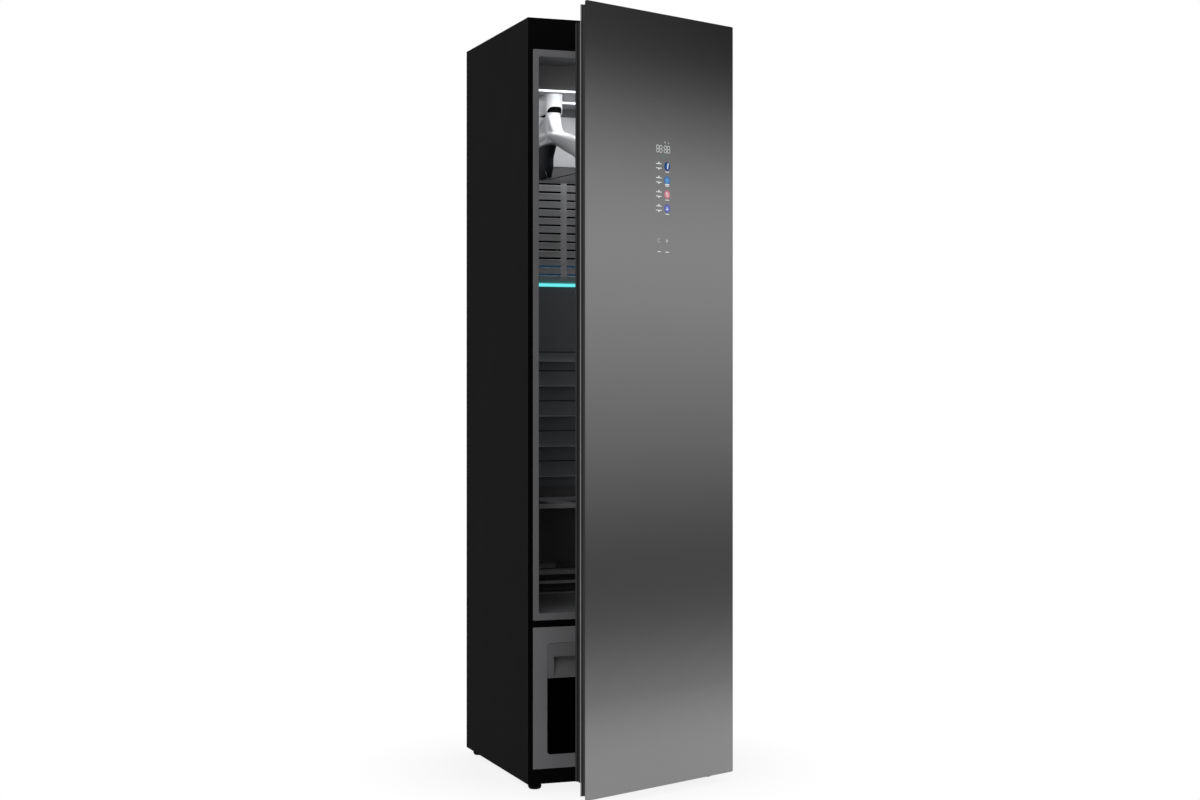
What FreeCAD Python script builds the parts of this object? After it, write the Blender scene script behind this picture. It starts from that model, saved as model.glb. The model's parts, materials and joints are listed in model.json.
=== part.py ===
"""Clothes care steam cabinet: a tall steel cabinet with one glass door that stands ajar.

Frame: +X to the right and +Z up as the user faces the cabinet, -Y towards the user. The origin is
on the floor, in the middle of the cabinet's footprint. All sizes are in millimetres.
"""
import FreeCAD, Part
import math
import os
from FreeCAD import Vector as V

# ---------------------------------------------------------------- driving dimensions
# Cabinet shell
WIDTH = 500.0
DEPTH = 528.0                 # body only, without the door
HEIGHT = 1850.0
FOOT_HEIGHT = 16.0            # floor to underside of the base pan
SHEET = 1.0                   # painted steel wrap and rear panel
FRONT_PLATE = 2.5             # front frame, liner flange and tank fascia
RETURN_WIDTH = 22.0           # folded edge of the wrap behind the front frame
REAR_RETURN = 16.0            # folded edge of the wrap behind the rear panel
CLEAR = 0.3                   # gap between pieces that only lie beside each other
REAR_INSET = 3.0              # rear sheet inside the wrap's edges
BEAD_INSET = 60.0             # side of the cabinet to the end of a pressed bead
BEAD_HEIGHT = 12.0
BEAD_DEPTH = 2.4
BEAD_LOWEST = 560.0
BEAD_HEADROOM = 90.0
BEAD_COUNT = 4

# Openings of the front frame
SIDE_MARGIN = 12.7
TOP_BAND = 74.6
FASCIA_BOTTOM = 51.5
FASCIA_HEIGHT = 339.5
DIVIDER = 16.0
WINDOW_RADIUS = 3.0

# Chamber liner
LINER_WALL = 2.5
FLANGE_SIDE = 15.3
FLANGE_TOP = 16.8
FLANGE_BOTTOM = 17.0
MOUTH_RADIUS = 6.0
REAR_SPACE = 62.0             # face of the rear air panels to the back of the cabinet
PANEL = 3.0                   # rear grille and ribbed panel
FOAM_GAP = 0.2                # insulation to the pieces it lies against

# Rear air panels of the chamber
PANEL_SIDE_GAP = 7.0
GRILLE_DROP = 155.0           # ceiling duct to the top of the grille
GRILLE_HEIGHT = 307.5
SLOT_ROWS = 12
SLOT_PITCH = 21.75
SLOT_HEIGHT = 6.6
SLOT_MARGIN = 29.0            # end of a slot to the side of the grille
SLOT_MIDDLE_GAP = 16.0
SLOT_LEAD = 26.5              # foot of the grille to the middle of the lowest slot
SLOT_RISE = 4.0               # how far a slot climbs through the panel
STRIP_HEIGHT = 8.0
STRIP_PROUD = 1.5
RIBBED_LIFT = 28.0            # shelf to the foot of the ribbed panel
RIB_LEAD = 25.0               # foot of the panel to the lowest rib
RIB_PITCH_SHARE = 0.1583      # of the height from the lowest rib to the light strip
LEAD_RIB_SHARE = 0.6077
RIB_COUNT = 4
RIB_HEIGHT = 40.0
RIB_PROUD = 11.0
RIB_LIP = 2.0
LEAD_RIB_HEIGHT = 24.0
LEAD_RIB_PROUD = 6.0
OUTLET_HEIGHT = 9.0
OUTLET_DROP = 3.0             # rib edge to the air outlet below it
OUTLET_MARGIN = 35.0
DUCT_DEPTH = 40.0
DUCT_MARGIN = 18.0
DUCT_LIFT = 96.0              # chamber floor to the foot of the rear duct
DUCT_WALL = 2.0
DUCT_WINDOW_LAP = 12.0        # rear panels over the edge of the liner's duct window

# Ceiling duct, lamps and hanger sockets
DUCT_BOX_SETBACK = 121.0      # front face of the cabinet to the ceiling duct
DUCT_BOX_DROP = 148.0         # top of the cabinet to the underside of the duct
DUCT_BOX_CHAMFER = 3.0
LAMP_HEIGHT = 6.5
LAMP_DEPTH = 12.0
LAMP_INSET = 4.0
LAMP_SETBACK = 3.0            # front of the duct to the front lamp
REAR_LAMP_BEHIND = 80.0       # hanger necks to the rear lamp
HANGER_PITCH = 108.0
HANGER_OFFSET = 1.0           # necks behind the middle of the chamber
SOCKET_HALF_WIDTH = 21.5
SOCKET_FRONT = 28.0           # from the neck axis to the socket's front
SOCKET_REAR = 58.0
SOCKET_HEIGHT = 50.0
SOCKET_BORE = 19.5
SOCKET_ARCH_DROP = 2.5        # centre of the front arch below the socket
SOCKET_CORNER = 12.0
SOCKET_FACETS = 20
AIR_PASSAGE = 13.0

# Air hangers; drops are measured down from the ceiling duct
NECK_RADIUS = 16.5
NECK_WALL = 2.2
NECK_FACETS = 18
NECK_TOP_DROP = 13.0
COLLAR_RADIUS = 19.2
COLLAR_HEIGHT = 5.5
COLLAR_DROP = 48.0
SHOULDER_DROP = 100.0         # where the neck grows out of the arms
ARM_MARGIN = 27.0             # arm tip to the end of the chamber
# share of the arm, crown drop, keel drop, half width, keel half width, sideways sweep
ARM_FORM = ((0.0, 92.0, 127.0, 19.5, 10.0, 0.0), (0.30, 99.0, 132.0, 19.0, 8.0, 0.5),
            (0.62, 114.0, 154.0, 17.5, 6.0, 3.0), (1.0, 131.0, 182.0, 12.0, 5.0, 7.0))
SHOULDER_SHARE = 0.42         # shoulder edge below the crown, as a share of the half width
BILGE_SHARE = 0.7             # bilge above the keel, as a share of the keel's half width
CROWN_FACETS = 6
KEEL_FACETS = 3
# distance behind the neck axis and drop along the web's top edge
WEB_FORM = ((0.0, 56.0), (40.0, 62.0), (62.0, 90.0), (70.0, 106.0))
WEB_HALF = 9.0
CHANNEL = (-1.0, 6.0)         # air channel in the arms, across
CHANNEL_SHARES = (-0.78, -0.62, -0.3, 0.0, 0.3, 0.62, 0.78)
CHANNEL_LID = 5.0
CHANNEL_FLOOR = 9.0
OUTLET_SHARES = (0.46, 0.68)
OUTLET_LENGTH = 26.0
# drop, half length along Y, half width of the nozzle
NOZZLE_FORM = ((128.0, 80.0, 12.5), (144.0, 57.0, 13.5), (182.0, 48.0, 14.0), (213.5, 32.0, 11.0))
NOZZLE_FACETS = 7
NOZZLE_WALL = 2.0
NOZZLE_FLARE = 8.0            # how much longer the inside is at the top than at the mouth
BAR_RADIUS = 1.8
BAR_SHARE = 0.93              # share of the arm at which the bar's ends meet it
BAR_BEND = 9.0
BAR_FACETS = 8
BAR_SEAT = 0.1                # bar end to the keel it hangs from

# Shelf
SHELF_LIFT = 251.0            # chamber floor to the top of the shelf
SHELF_THICKNESS = 7.0
SHELF_SETBACK = 167.0
SHELF_SIDE_GAP = 2.0
SHELF_BACK_GAP = 4.0
SHELF_RIM = 15.0
SHELF_BAR = 57.0
SHELF_MIDDLE_OPENING = 110.0
SHELF_REAR_RIM = 88.0
LIP_INSET = 14.0
LIP_THICKNESS = 3.0
LIP_DROP = 4.0
RUNNER_WIDTH = 9.0
RUNNER_HEIGHT = 8.0
RUNNER_LEAD = 40.0            # runner in front of the shelf

# Steam and return air box at the foot of the rear wall, and its filter
VENT_DEPTH = 44.0
VENT_FRONT_HEIGHT = 60.0
VENT_REAR_HEIGHT = 76.0
VENT_WALL = 2.5
VENT_SLOT_MARGIN = 26.0
VENT_SLOTS = ((3.5, 26.0), (34.0, 50.0))
FILTER_SETBACK = 12.0         # behind the vent box's front
FILTER_THICKNESS = 9.0
FILTER_MARGIN = 37.0
FILTER_BORDER = 8.0
FILTER_LIFT = 8.0
FILTER_PROUD = 6.0            # cassette above the front of the vent box
FILTER_BAY_COUNT = 6
FILTER_BAR = 3.0
FILTER_MESH = 0.8
FILTER_TAB = 60.0
FILTER_TAB_HEIGHT = 14.0
FILTER_PLAY = 1.0
RAIL = 3.0
RAIL_GRIP = 7.0

# Water tanks
TANK_MARGIN = 48.9            # side of the cabinet to the tank
TANK_LIFT = 33.5              # foot of the fascia to the tank opening
TANK_HEAD = 39.0              # tank opening to the top of the fascia
TANK_POST = 8.0               # fascia between the two tanks
TANK_GAP = 0.6
TANK_WALL = 2.5
TANK_RADIUS = 8.0
TANK_WINDOW_DROP = 84.0       # top of the tank to the top of its clear front
TANK_GRIP_DEPTH = 23.0
GRIP_INSET = 16.8
GRIP_DROP = 79.0
GRIP_HEAD = 32.5
GRIP_RECESS = 18.0
GRIP_LIP = 8.0
TANK_LID = 5.0
FILL_RADIUS = 18.0
FILL_SHARE = 0.55             # of the tank's depth, from its front
FILL_FACETS = 20
BAY_WALL = 2.0
BAY_PLAY = 4.0
BAY_LEG = 4.0
BAY_LEG_INSET = 52.1
BAY_RAIL = 6.0
BAY_RAIL_INSET = 20.0
MACHINE_DEPTH = 200.0         # depth kept for the machinery; the tanks take half of the rest

# Base pan and machinery
PAN = 1.5
PAN_WALL_HEIGHT = 28.0
BOSS_SIZE = 18.0
BOSS_HEIGHT = 18.0
STEM_RADIUS = 4.0
RUN_FIT = 0.05                # radial play of a shaft in its hole
TUBE_FACETS = 12
COMPRESSOR_RADIUS = 60.0
COMPRESSOR_HEIGHT = 205.0
COMPRESSOR_INSET = (92.0, 114.0)
COMPRESSOR_LIFT = 14.0
CAN_FACETS = 24
CAN_FOOT_INSET, CAN_FOOT_RISE = 4, 6
CAN_SHOULDER_DROP, CAN_SHOULDER_INSET = 26, 10
CAN_DOME_DROP, CAN_CROWN_INSET = 8, 30
FOOT_PLATE_REACH, FOOT_PLATE_HALF = 10, 34
FOOT_PLATE_UNDER, FOOT_PLATE_OVER = 3, 4
PAD_HALF, PAD_INSET, PAD_SPREAD = 9, 10, 24
TERMINAL_HALF, TERMINAL_PROUD, TERMINAL_SUNK = 24, 10, 14
TERMINAL_LOW, TERMINAL_HIGH = 60, 118
COIL_MARGIN = 175.0           # side of the cabinet to the coil
COIL_HEIGHT = 230.0
COIL_DEPTH = 38.0
COIL_FIN_PITCH = 17.0
COIL_FIN_DEPTH = 5.0
COIL_FIN = 1.5
COIL_STAND = 24.0
HEADER_RADIUS = 8.0
HEADER_GAP = 4.0
HEADER_PROUD = 6.0
EVAPORATOR_INSET = 224.0      # from the back of the cabinet
CONDENSER_INSET = 134.0
FAN_RADIUS = 52.0
FAN_HEIGHT = 34.0
FAN_WALL = 2.0
FAN_GAP = 5.0
FAN_CORNER = 16.0
FAN_OUTLET = 26.0             # casing in front of the wheel, with the outlet in its floor
FAN_EYE_SHARE = 0.6
FAN_MOTOR_RADIUS = 22.0
FAN_MOTOR_HEIGHT = 12.0
FAN_SHAFT = 4.0
FAN_SHAFT_LENGTH = 18.0
FAN_HUB = 9.0
FAN_LEG = 10.0
FAN_LEG_SPREAD = 40.0
BLADE_COUNT = 12
BLADE_LENGTH = 13.0
BLADE_INSET = 3.0
BLADE = 1.6
BLADE_SWEEP_ANGLE = 35.0
BASE_FAN_INSET = (82.0, 224.0)
BASE_FAN_LEVEL = 120.0
CEILING_FAN_INSET = 146.0
STEAM_BOX = (96.0, 84.0, 90.0)
STEAM_INSET = (62.0, 254.0)
STEAM_LIFT = 10.0
STEAM_SPOUT = 10.0
STEAM_OUTLET_SHIFT = (40.0, 33.0)
STEAM_PIPE_DROP = 42.0        # fascia divider down to the pipe's level run
PUMP_RADIUS = 19.0
PUMP_LENGTH = 62.0
PUMP_HEAD = 16.0
PUMP_INSET = 158.0
PUMP_BEHIND = 30.0            # tank bay to the pump axis
PUMP_FACETS = 16
CONTROL_BOX = (130.0, 60.0, 150.0)
CONTROL_INSET = (100.0, 64.0)
CONTROL_LEVEL = 230.0
CONTROL_LID = 3.0
PIPE_RADIUS = 4.0
PIPE_BEND = 9.0
PIPE_FACETS = 10
HOT_RISE = 34.0
LIQUID_RISE = 24.0
STEAM_PIPE_RADIUS = 8.0
STEAM_PIPE_BEND = 14.0

# Feet
FOOT_RADIUS = 15.5
FOOT_FACETS = 12
FOOT_CHAMFER = 3.0
FOOT_INSET_X = 27.0
FOOT_INSET_Y = 30.0
FOOT_PAD = 11.5
FOOT_STEM_TOP = 36.0
SPANNER_RADIUS = 8.5
SPANNER_HEIGHT = 3.5
SPANNER_FACETS = 6

# Door, drawn closed and then swung ajar
DOOR_BOTTOM = 22.0
GLASS = 5.0
GLASS_RADIUS = 3.0
DOOR_PROUD = 52.0             # cabinet face to the front of the glass
FRAME_INSET = 6.5
FRAME_DEPTH = 19.0
FRAME_RING = 20.0
FRAME_EDGE = 2.5              # thin bright edge at the back of the frame
FRAME_STEP = 1.2
FRAME_SHADOW_DEPTH = 6.0
FRAME_SHADOW_INSET = 4.0
LINER_INSET = 13.0
DOOR_LINER_HEADROOM = 45.0
DOOR_LINER_BOTTOM = 57.0
DOOR_LINER_DEPTH = 16.0
DOOR_LINER_SKIN = 4.0
DOOR_LINER_RIM = 25.0
DOOR_LINER_RADIUS = 8.0
GASKET_WIDTH = 14.0
GASKET_INSET = 0.6
GASKET_FACE_GAP = 0.5
GASKET_GROOVE = 3.0
GASKET_BASE_SHARE = 0.4       # of the gasket's depth
DISPLAY_HALF_WIDTH = 40.0
DISPLAY_HEIGHT = 296.0
DISPLAY_DROP = 286.0          # top of the cabinet to the top of the display
DISPLAY_DEPTH = 12.0
BRACKET = (24.0, 1.5)         # height and thickness
BRACKET_INSET = 60.0
HINGE_X = 11.0                # pin to the side of the cabinet
HINGE_Y = 14.0                # pin in front of the cabinet face
HINGE_PIN = 4.0
HINGE_PIN_PROUD = 1.5
HINGE_NOSE = 11.0
HINGE_FACETS = 12
HINGE_LEAF = 3.0
HINGE_PLATE = 2.0
HINGE_PLATE_DOWN = 5.0
HINGE_PLATE_UP = 12.0
HINGE_PLATE_REACH = 34.0
HINGE_PLATE_GAP = 12.0        # pin to the near edge of the door plate
HINGE_LOW = 41.0
HINGE_HEADROOM = 38.0
DOOR_AJAR_ANGLE = 24.4        # degrees the door stands open

# Service cover and inlet at the back
COVER_MARGIN = 100.0
COVER_RANGE = (70.0, 370.0)
COVER_LAP = 12.0
REAR_SPLIT_RISE = 25.0        # service opening to the joint between the two rear sheets
LOUVRE_COUNT = 9
LOUVRE_MARGIN = 25.0
LOUVRE_HEIGHT = 8.0
LOUVRE_LIP = 0.8
INLET_INSET = 50.0
INLET_LEVEL = 92.0
INLET_SIZE = (46.0, 30.0, 26.0)
INLET_PLATE = 2.0
INLET_FLANGE = 5.0
INLET_RECESS = (28.0, 18.0)
INLET_FLOOR = 6.0
# across and up from the middle of the inlet
INLET_BLADES = ((-7.0, -2.0), (0.0, 3.0), (7.0, -2.0))

# ---------------------------------------------------------------- derived places
SIDE = WIDTH / 2
FRONT = -DEPTH / 2
REAR = DEPTH / 2
BODY_BOTTOM = FOOT_HEIGHT
BEHIND_PLATE = FRONT + FRONT_PLATE
PANEL_REAR = REAR - SHEET
BEAD_PITCH = (HEIGHT - BEAD_LOWEST - BEAD_HEADROOM) / BEAD_COUNT
WINDOW_SIDE = SIDE - SIDE_MARGIN
FASCIA_TOP = FASCIA_BOTTOM + FASCIA_HEIGHT
SILL = FASCIA_TOP + DIVIDER
WINDOW_TOP = HEIGHT - TOP_BAND
CHAMBER_SIDE = WINDOW_SIDE - FLANGE_SIDE
CHAMBER_FLOOR = SILL + FLANGE_BOTTOM
CHAMBER_CEILING = WINDOW_TOP - FLANGE_TOP
CHAMBER_DEPTH = DEPTH - REAR_SPACE
PANEL_FACE = FRONT + CHAMBER_DEPTH
CHAMBER_REAR = PANEL_FACE + PANEL
LINER_REAR = CHAMBER_REAR + LINER_WALL
LINER_TOP = CHAMBER_CEILING + LINER_WALL
LINER_UNDER = CHAMBER_FLOOR - LINER_WALL
DUCT_BOX_UNDERSIDE = HEIGHT - DUCT_BOX_DROP
DUCT_BOX_FRONT = FRONT + DUCT_BOX_SETBACK
DUCT_HALF_WIDTH = CHAMBER_SIDE - DUCT_MARGIN
DUCT_BOTTOM = CHAMBER_FLOOR + DUCT_LIFT
SHELF_TOP = CHAMBER_FLOOR + SHELF_LIFT
SHELF_FRONT = FRONT + SHELF_SETBACK
PANEL_HALF_WIDTH = CHAMBER_SIDE - PANEL_SIDE_GAP
GRILLE_TOP = DUCT_BOX_UNDERSIDE - GRILLE_DROP
STRIP_TOP = GRILLE_TOP - GRILLE_HEIGHT
STRIP_BOTTOM = STRIP_TOP - STRIP_HEIGHT
SLOT_FIRST = STRIP_TOP + SLOT_LEAD
SLOT_LENGTH = PANEL_HALF_WIDTH - SLOT_MIDDLE_GAP / 2 - SLOT_MARGIN
RIBBED_BOTTOM = SHELF_TOP + RIBBED_LIFT
RIB_LOWEST = RIBBED_BOTTOM + RIB_LEAD
RIB_PITCH = (STRIP_BOTTOM - RIB_LOWEST) * RIB_PITCH_SHARE
LEAD_RIB_EDGE = RIB_LOWEST + (STRIP_BOTTOM - RIB_LOWEST) * LEAD_RIB_SHARE
OUTLET_HALF_WIDTH = PANEL_HALF_WIDTH - OUTLET_MARGIN
NECK_Y = FRONT + CHAMBER_DEPTH / 2 + HANGER_OFFSET
REAR_LAMP = NECK_Y + REAR_LAMP_BEHIND
HANGER_XS = {"left": -HANGER_PITCH, "centre": 0.0, "right": HANGER_PITCH}
SOCKET_BOTTOM = DUCT_BOX_UNDERSIDE - SOCKET_HEIGHT
NECK_TOP = DUCT_BOX_UNDERSIDE - NECK_TOP_DROP
COLLAR_BOTTOM = DUCT_BOX_UNDERSIDE - COLLAR_DROP
SHOULDER = DUCT_BOX_UNDERSIDE - SHOULDER_DROP
ARM_LENGTH = CHAMBER_DEPTH / 2 - ARM_MARGIN
ARM_SECTIONS = [(share, DUCT_BOX_UNDERSIDE - crown, DUCT_BOX_UNDERSIDE - keel, *across)
                for share, crown, keel, *across in ARM_FORM]
NOZZLE_SECTIONS = [(DUCT_BOX_UNDERSIDE - drop, *across) for drop, *across in NOZZLE_FORM]
NOZZLE_BOTTOM = NOZZLE_SECTIONS[-1][0]
VENT_FRONT = PANEL_FACE - VENT_DEPTH
VENT_SLOT_HALF = CHAMBER_SIDE - VENT_SLOT_MARGIN
FILTER_HALF_WIDTH = CHAMBER_SIDE - FILTER_MARGIN
PAN_TOP = BODY_BOTTOM + PAN
TANK_BOTTOM = FASCIA_BOTTOM + TANK_LIFT
TANK_TOP = FASCIA_TOP - TANK_HEAD
TANK_DEPTH = (DEPTH - MACHINE_DEPTH) / 2
TANK_WINDOW_TOP = TANK_TOP - TANK_WINDOW_DROP
GRIP_BOTTOM = TANK_TOP - GRIP_DROP
GRIP_TOP = TANK_TOP - GRIP_HEAD
TANK_OUTER = SIDE - TANK_MARGIN
TANK_INNER = TANK_POST / 2
TANK_REAR = FRONT + TANK_DEPTH
BAY_REAR = TANK_REAR + BAY_PLAY
COMPRESSOR_AT = (-SIDE + COMPRESSOR_INSET[0], REAR - COMPRESSOR_INSET[1])
COIL_WIDTH = WIDTH - 2 * COIL_MARGIN
EVAPORATOR_AT = (0.0, REAR - EVAPORATOR_INSET)
CONDENSER_AT = (0.0, REAR - CONDENSER_INSET)
BASE_FAN_AT = (SIDE - BASE_FAN_INSET[0], REAR - BASE_FAN_INSET[1], BASE_FAN_LEVEL)
CEILING_FAN_AT = (0.0, REAR - CEILING_FAN_INSET)
STEAM_AT = (-SIDE + STEAM_INSET[0], REAR - STEAM_INSET[1])
CONTROL_AT = (SIDE - CONTROL_INSET[0], REAR - CONTROL_INSET[1], CONTROL_LEVEL)
FOOT_X = SIDE - FOOT_INSET_X
FOOT_Y = DEPTH / 2 - FOOT_INSET_Y
PIN_X = SIDE - HINGE_X
PIN_Y = FRONT - HINGE_Y
HINGE_LEVELS = (HINGE_LOW, HEIGHT - HINGE_HEADROOM)
GLASS_FRONT = FRONT - DOOR_PROUD
FRAME_FRONT = GLASS_FRONT + GLASS
FRAME_BACK = FRAME_FRONT + FRAME_DEPTH
DOOR_LINER_TOP = HEIGHT - DOOR_LINER_HEADROOM
DOOR_LINER_BACK = FRAME_BACK + DOOR_LINER_DEPTH
GASKET_FACE = FRONT - GASKET_FACE_GAP
DISPLAY_RANGE = (HEIGHT - DISPLAY_DROP - DISPLAY_HEIGHT, HEIGHT - DISPLAY_DROP)
COVER_HALF_WIDTH = SIDE - COVER_MARGIN
REAR_SPLIT = COVER_RANGE[1] + REAR_SPLIT_RISE
LOUVRE_LENGTH = 2 * (COVER_HALF_WIDTH - LOUVRE_MARGIN)
INLET_AT = (SIDE - INLET_INSET, INLET_LEVEL)
FAN_OUTER = FAN_RADIUS + FAN_GAP + FAN_WALL
FAN_FRONT = FAN_OUTER + FAN_OUTLET
FAN_TOTAL = FAN_HEIGHT + 2 * FAN_GAP + 2 * FAN_WALL

X_AXIS = V(1, 0, 0)
Y_AXIS = V(0, 1, 0)
Z_AXIS = V(0, 0, 1)


# ---------------------------------------------------------------- shape helpers
def block(x, y, z):
    """Box between the given low and high coordinates."""
    return Part.makeBox(x[1] - x[0], y[1] - y[0], z[1] - z[0], V(x[0], y[0], z[0]))


def edges_along(shape, axis):
    """Straight edges of the shape that run parallel to the axis."""
    found = []
    for edge in shape.Edges:
        if edge.Curve.TypeId == "Part::GeomLine":
            run = edge.Vertexes[-1].Point - edge.Vertexes[0].Point
            if abs(abs(run.normalize().dot(axis)) - 1) < 1e-6:
                found.append(edge)
    return found


def rounded(x, y, z, radius, axis):
    """Box with its four edges along the axis rounded."""
    shape = block(x, y, z)
    return shape.makeFillet(radius, edges_along(shape, axis))


def rod(radius, start, end):
    """Round bar between two points."""
    run = V(*end) - V(*start)
    return Part.makeCylinder(radius, run.Length, V(*start), run)


def prism_x(points, x):
    """Outline of (y, z) points carried along X."""
    loop = [V(x[0], y, z) for y, z in points]
    return Part.Face(Part.makePolygon(loop + loop[:1])).extrude(V(x[1] - x[0], 0, 0))


def prism_z(points, z):
    """Outline of (x, y) points carried along Z."""
    loop = [V(x, y, z[0]) for x, y in points]
    return Part.Face(Part.makePolygon(loop + loop[:1])).extrude(V(0, 0, z[1] - z[0]))


def ring(outer, inner, y):
    """Frame in the XZ plane; outer and inner are (half width, z low, z high)."""
    body = block((-outer[0], outer[0]), y, (outer[1], outer[2]))
    return body.cut(block((-inner[0], inner[0]), (y[0] - 1, y[1] + 1), (inner[1], inner[2])))


def mirrored(shape):
    """The same shape on the other side of the middle plane."""
    return shape.mirror(V(0, 0, 0), X_AXIS)


def joined(shapes):
    """One solid from shapes that touch or overlap."""
    shapes = list(shapes)
    return shapes[0].multiFuse(shapes[1:]).removeSplitter()


def save(node, *shapes):
    """Write the solids of one node."""
    solids = [solid for shape in shapes for solid in shape.Solids]
    shape = solids[0] if len(solids) == 1 else Part.makeCompound(solids)
    shape.exportStep(f"parts/{node}.step")


def polygon(centre, radius, sides):
    """(x, y) corners of a regular polygon."""
    step = 2 * math.pi / sides
    return [(centre[0] + radius * math.cos(i * step), centre[1] + radius * math.sin(i * step))
            for i in range(sides)]


def regular(centre, radius, sides, z):
    """Upright prism on a regular polygon."""
    return prism_z(polygon(centre, radius, sides), z)


def turned(profile, centre, sides):
    """Upright turned form with flat facets, from (radius, z) points between its two flat ends."""
    return hull_between([[V(x, y, z) for x, y in polygon(centre, r, sides)] for r, z in profile])


def hull_between(loops):
    """Solid through matching loops of points; each side is split into flat triangles."""
    faces = [Part.Face(Part.makePolygon(loop + loop[:1])) for loop in (loops[0], loops[-1])]
    for low, high in zip(loops, loops[1:]):
        for i in range(len(low)):
            a, b, c, d = low[i - 1], low[i], high[i], high[i - 1]
            faces.append(Part.Face(Part.makePolygon([a, b, c, a])))
            faces.append(Part.Face(Part.makePolygon([a, c, d, a])))
    solid = Part.Solid(Part.makeShell(faces))
    return solid if solid.Volume > 0 else solid.reversed()


def arc_points(left, top, right, count):
    """Points on the arc from left through top to right, ends included."""
    arc = Part.Arc(left, top, right)
    span = arc.LastParameter - arc.FirstParameter
    return [arc.value(arc.FirstParameter + span * i / count) for i in range(count + 1)]


def pipe(points, radius, bend, sides):
    """Tube solid along straight runs; each corner is a short mitred bend."""
    points = [V(*p) for p in points]
    route = [points[0]]
    for before, corner, after in zip(points, points[1:], points[2:]):
        route.append(corner + (before - corner).normalize() * bend)
        route.append(corner + (after - corner).normalize() * bend)
    route.append(points[-1])
    run = route[1] - route[0]
    across = run.cross(X_AXIS if abs(run.x) < 0.5 * run.Length else Z_AXIS).normalize()
    up = run.cross(across).normalize()
    step = 2 * math.pi / sides
    loop = [route[0] + across * (radius * math.cos(i * step)) + up * (radius * math.sin(i * step))
            for i in range(sides)]
    section = Part.makePolygon(loop + loop[:1])
    return Part.makePolygon(route).makePipeShell([section], True, False, 1)


# ---------------------------------------------------------------- cabinet shell
def outer_wrap():
    """Sides and top folded from one sheet, with returns along the front and rear edges."""
    shape = block((-SIDE, SIDE), (BEHIND_PLATE, PANEL_REAR), (BODY_BOTTOM, HEIGHT))
    hollow = block((-SIDE + SHEET, SIDE - SHEET), (BEHIND_PLATE + SHEET, PANEL_REAR - SHEET),
                   (BODY_BOTTOM - 1, HEIGHT - SHEET))
    front_hole = block((-SIDE + RETURN_WIDTH, SIDE - RETURN_WIDTH), (BEHIND_PLATE - 1, 0),
                       (BODY_BOTTOM - 1, LINER_TOP + LINER_WALL))
    rear_hole = block((-SIDE + REAR_RETURN, SIDE - REAR_RETURN), (0, PANEL_REAR + 1),
                      (BODY_BOTTOM - 1, HEIGHT - REAR_RETURN))
    return shape.cut(hollow).cut(front_hole).cut(rear_hole)


def front_frame():
    """Black front plate with the chamber window above and the fascia window below."""
    y = (FRONT, BEHIND_PLATE)
    plate = block((-SIDE, SIDE), y, (BODY_BOTTOM, HEIGHT))
    cut_y = (FRONT - 1, BEHIND_PLATE + 1)
    chamber = rounded((-WINDOW_SIDE, WINDOW_SIDE), cut_y, (SILL, WINDOW_TOP), WINDOW_RADIUS, Y_AXIS)
    tanks = block((-WINDOW_SIDE, WINDOW_SIDE), cut_y, (FASCIA_BOTTOM, FASCIA_TOP))
    return plate.cut([chamber, tanks])


def rear_panel():
    """Flat rear sheet behind the chamber, with pressed beads."""
    half = SIDE - REAR_INSET
    shape = block((-half, half), (PANEL_REAR, REAR), (REAR_SPLIT, HEIGHT - REAR_INSET))
    bead = SIDE - BEAD_INSET
    for i in range(BEAD_COUNT):
        low = BEAD_LOWEST + i * BEAD_PITCH
        high = low + BEAD_HEIGHT
        outer = block((-bead, bead), (REAR - BEAD_DEPTH, REAR), (low, high))
        inner = block((-bead + SHEET, bead - SHEET), (REAR - BEAD_DEPTH + SHEET, REAR + 1),
                      (low + SHEET, high - SHEET))
        shape = shape.fuse(outer).cut(inner)
    return shape.removeSplitter()


def machine_panel():
    """Rear sheet behind the machinery, with the service opening and the inlet opening."""
    half = SIDE - REAR_INSET
    shape = block((-half, half), (PANEL_REAR, REAR), (BODY_BOTTOM + REAR_INSET, REAR_SPLIT - CLEAR))
    service = block((-COVER_HALF_WIDTH, COVER_HALF_WIDTH), (0, REAR + 1), COVER_RANGE)
    ix, iz = INLET_AT
    inlet = block((ix - INLET_SIZE[0] / 2 - CLEAR, ix + INLET_SIZE[0] / 2 + CLEAR), (0, REAR + 1),
                  (iz - INLET_SIZE[1] / 2 - CLEAR, iz + INLET_SIZE[1] / 2 + CLEAR))
    return shape.cut([service, inlet])


def service_cover():
    """Louvred cover behind the service opening."""
    lap = COVER_LAP
    y = (PANEL_REAR - SHEET, PANEL_REAR)
    shape = block((-COVER_HALF_WIDTH - lap, COVER_HALF_WIDTH + lap), y,
                  (COVER_RANGE[0] - lap, COVER_RANGE[1] + lap))
    pitch = (COVER_RANGE[1] - COVER_RANGE[0]) / LOUVRE_COUNT
    x = (-LOUVRE_LENGTH / 2, LOUVRE_LENGTH / 2)
    hoods = []
    for row in range(LOUVRE_COUNT):
        low = COVER_RANGE[0] + (row + 0.3) * pitch
        shape = shape.cut(block(x, (0, REAR), (low, low + LOUVRE_HEIGHT)))
        hoods.append(prism_x([(y[0], low + LOUVRE_HEIGHT), (y[1], low + LOUVRE_HEIGHT), (REAR, low + 3),
                              (REAR - LOUVRE_LIP, low + 3)], x))
    return shape.fuse(hoods).removeSplitter()


def foot_places():
    """Names and (x, y) of the four feet."""
    return {"front_left": (-FOOT_X, -FOOT_Y), "front_right": (FOOT_X, -FOOT_Y),
            "rear_left": (-FOOT_X, FOOT_Y), "rear_right": (FOOT_X, FOOT_Y)}


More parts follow.
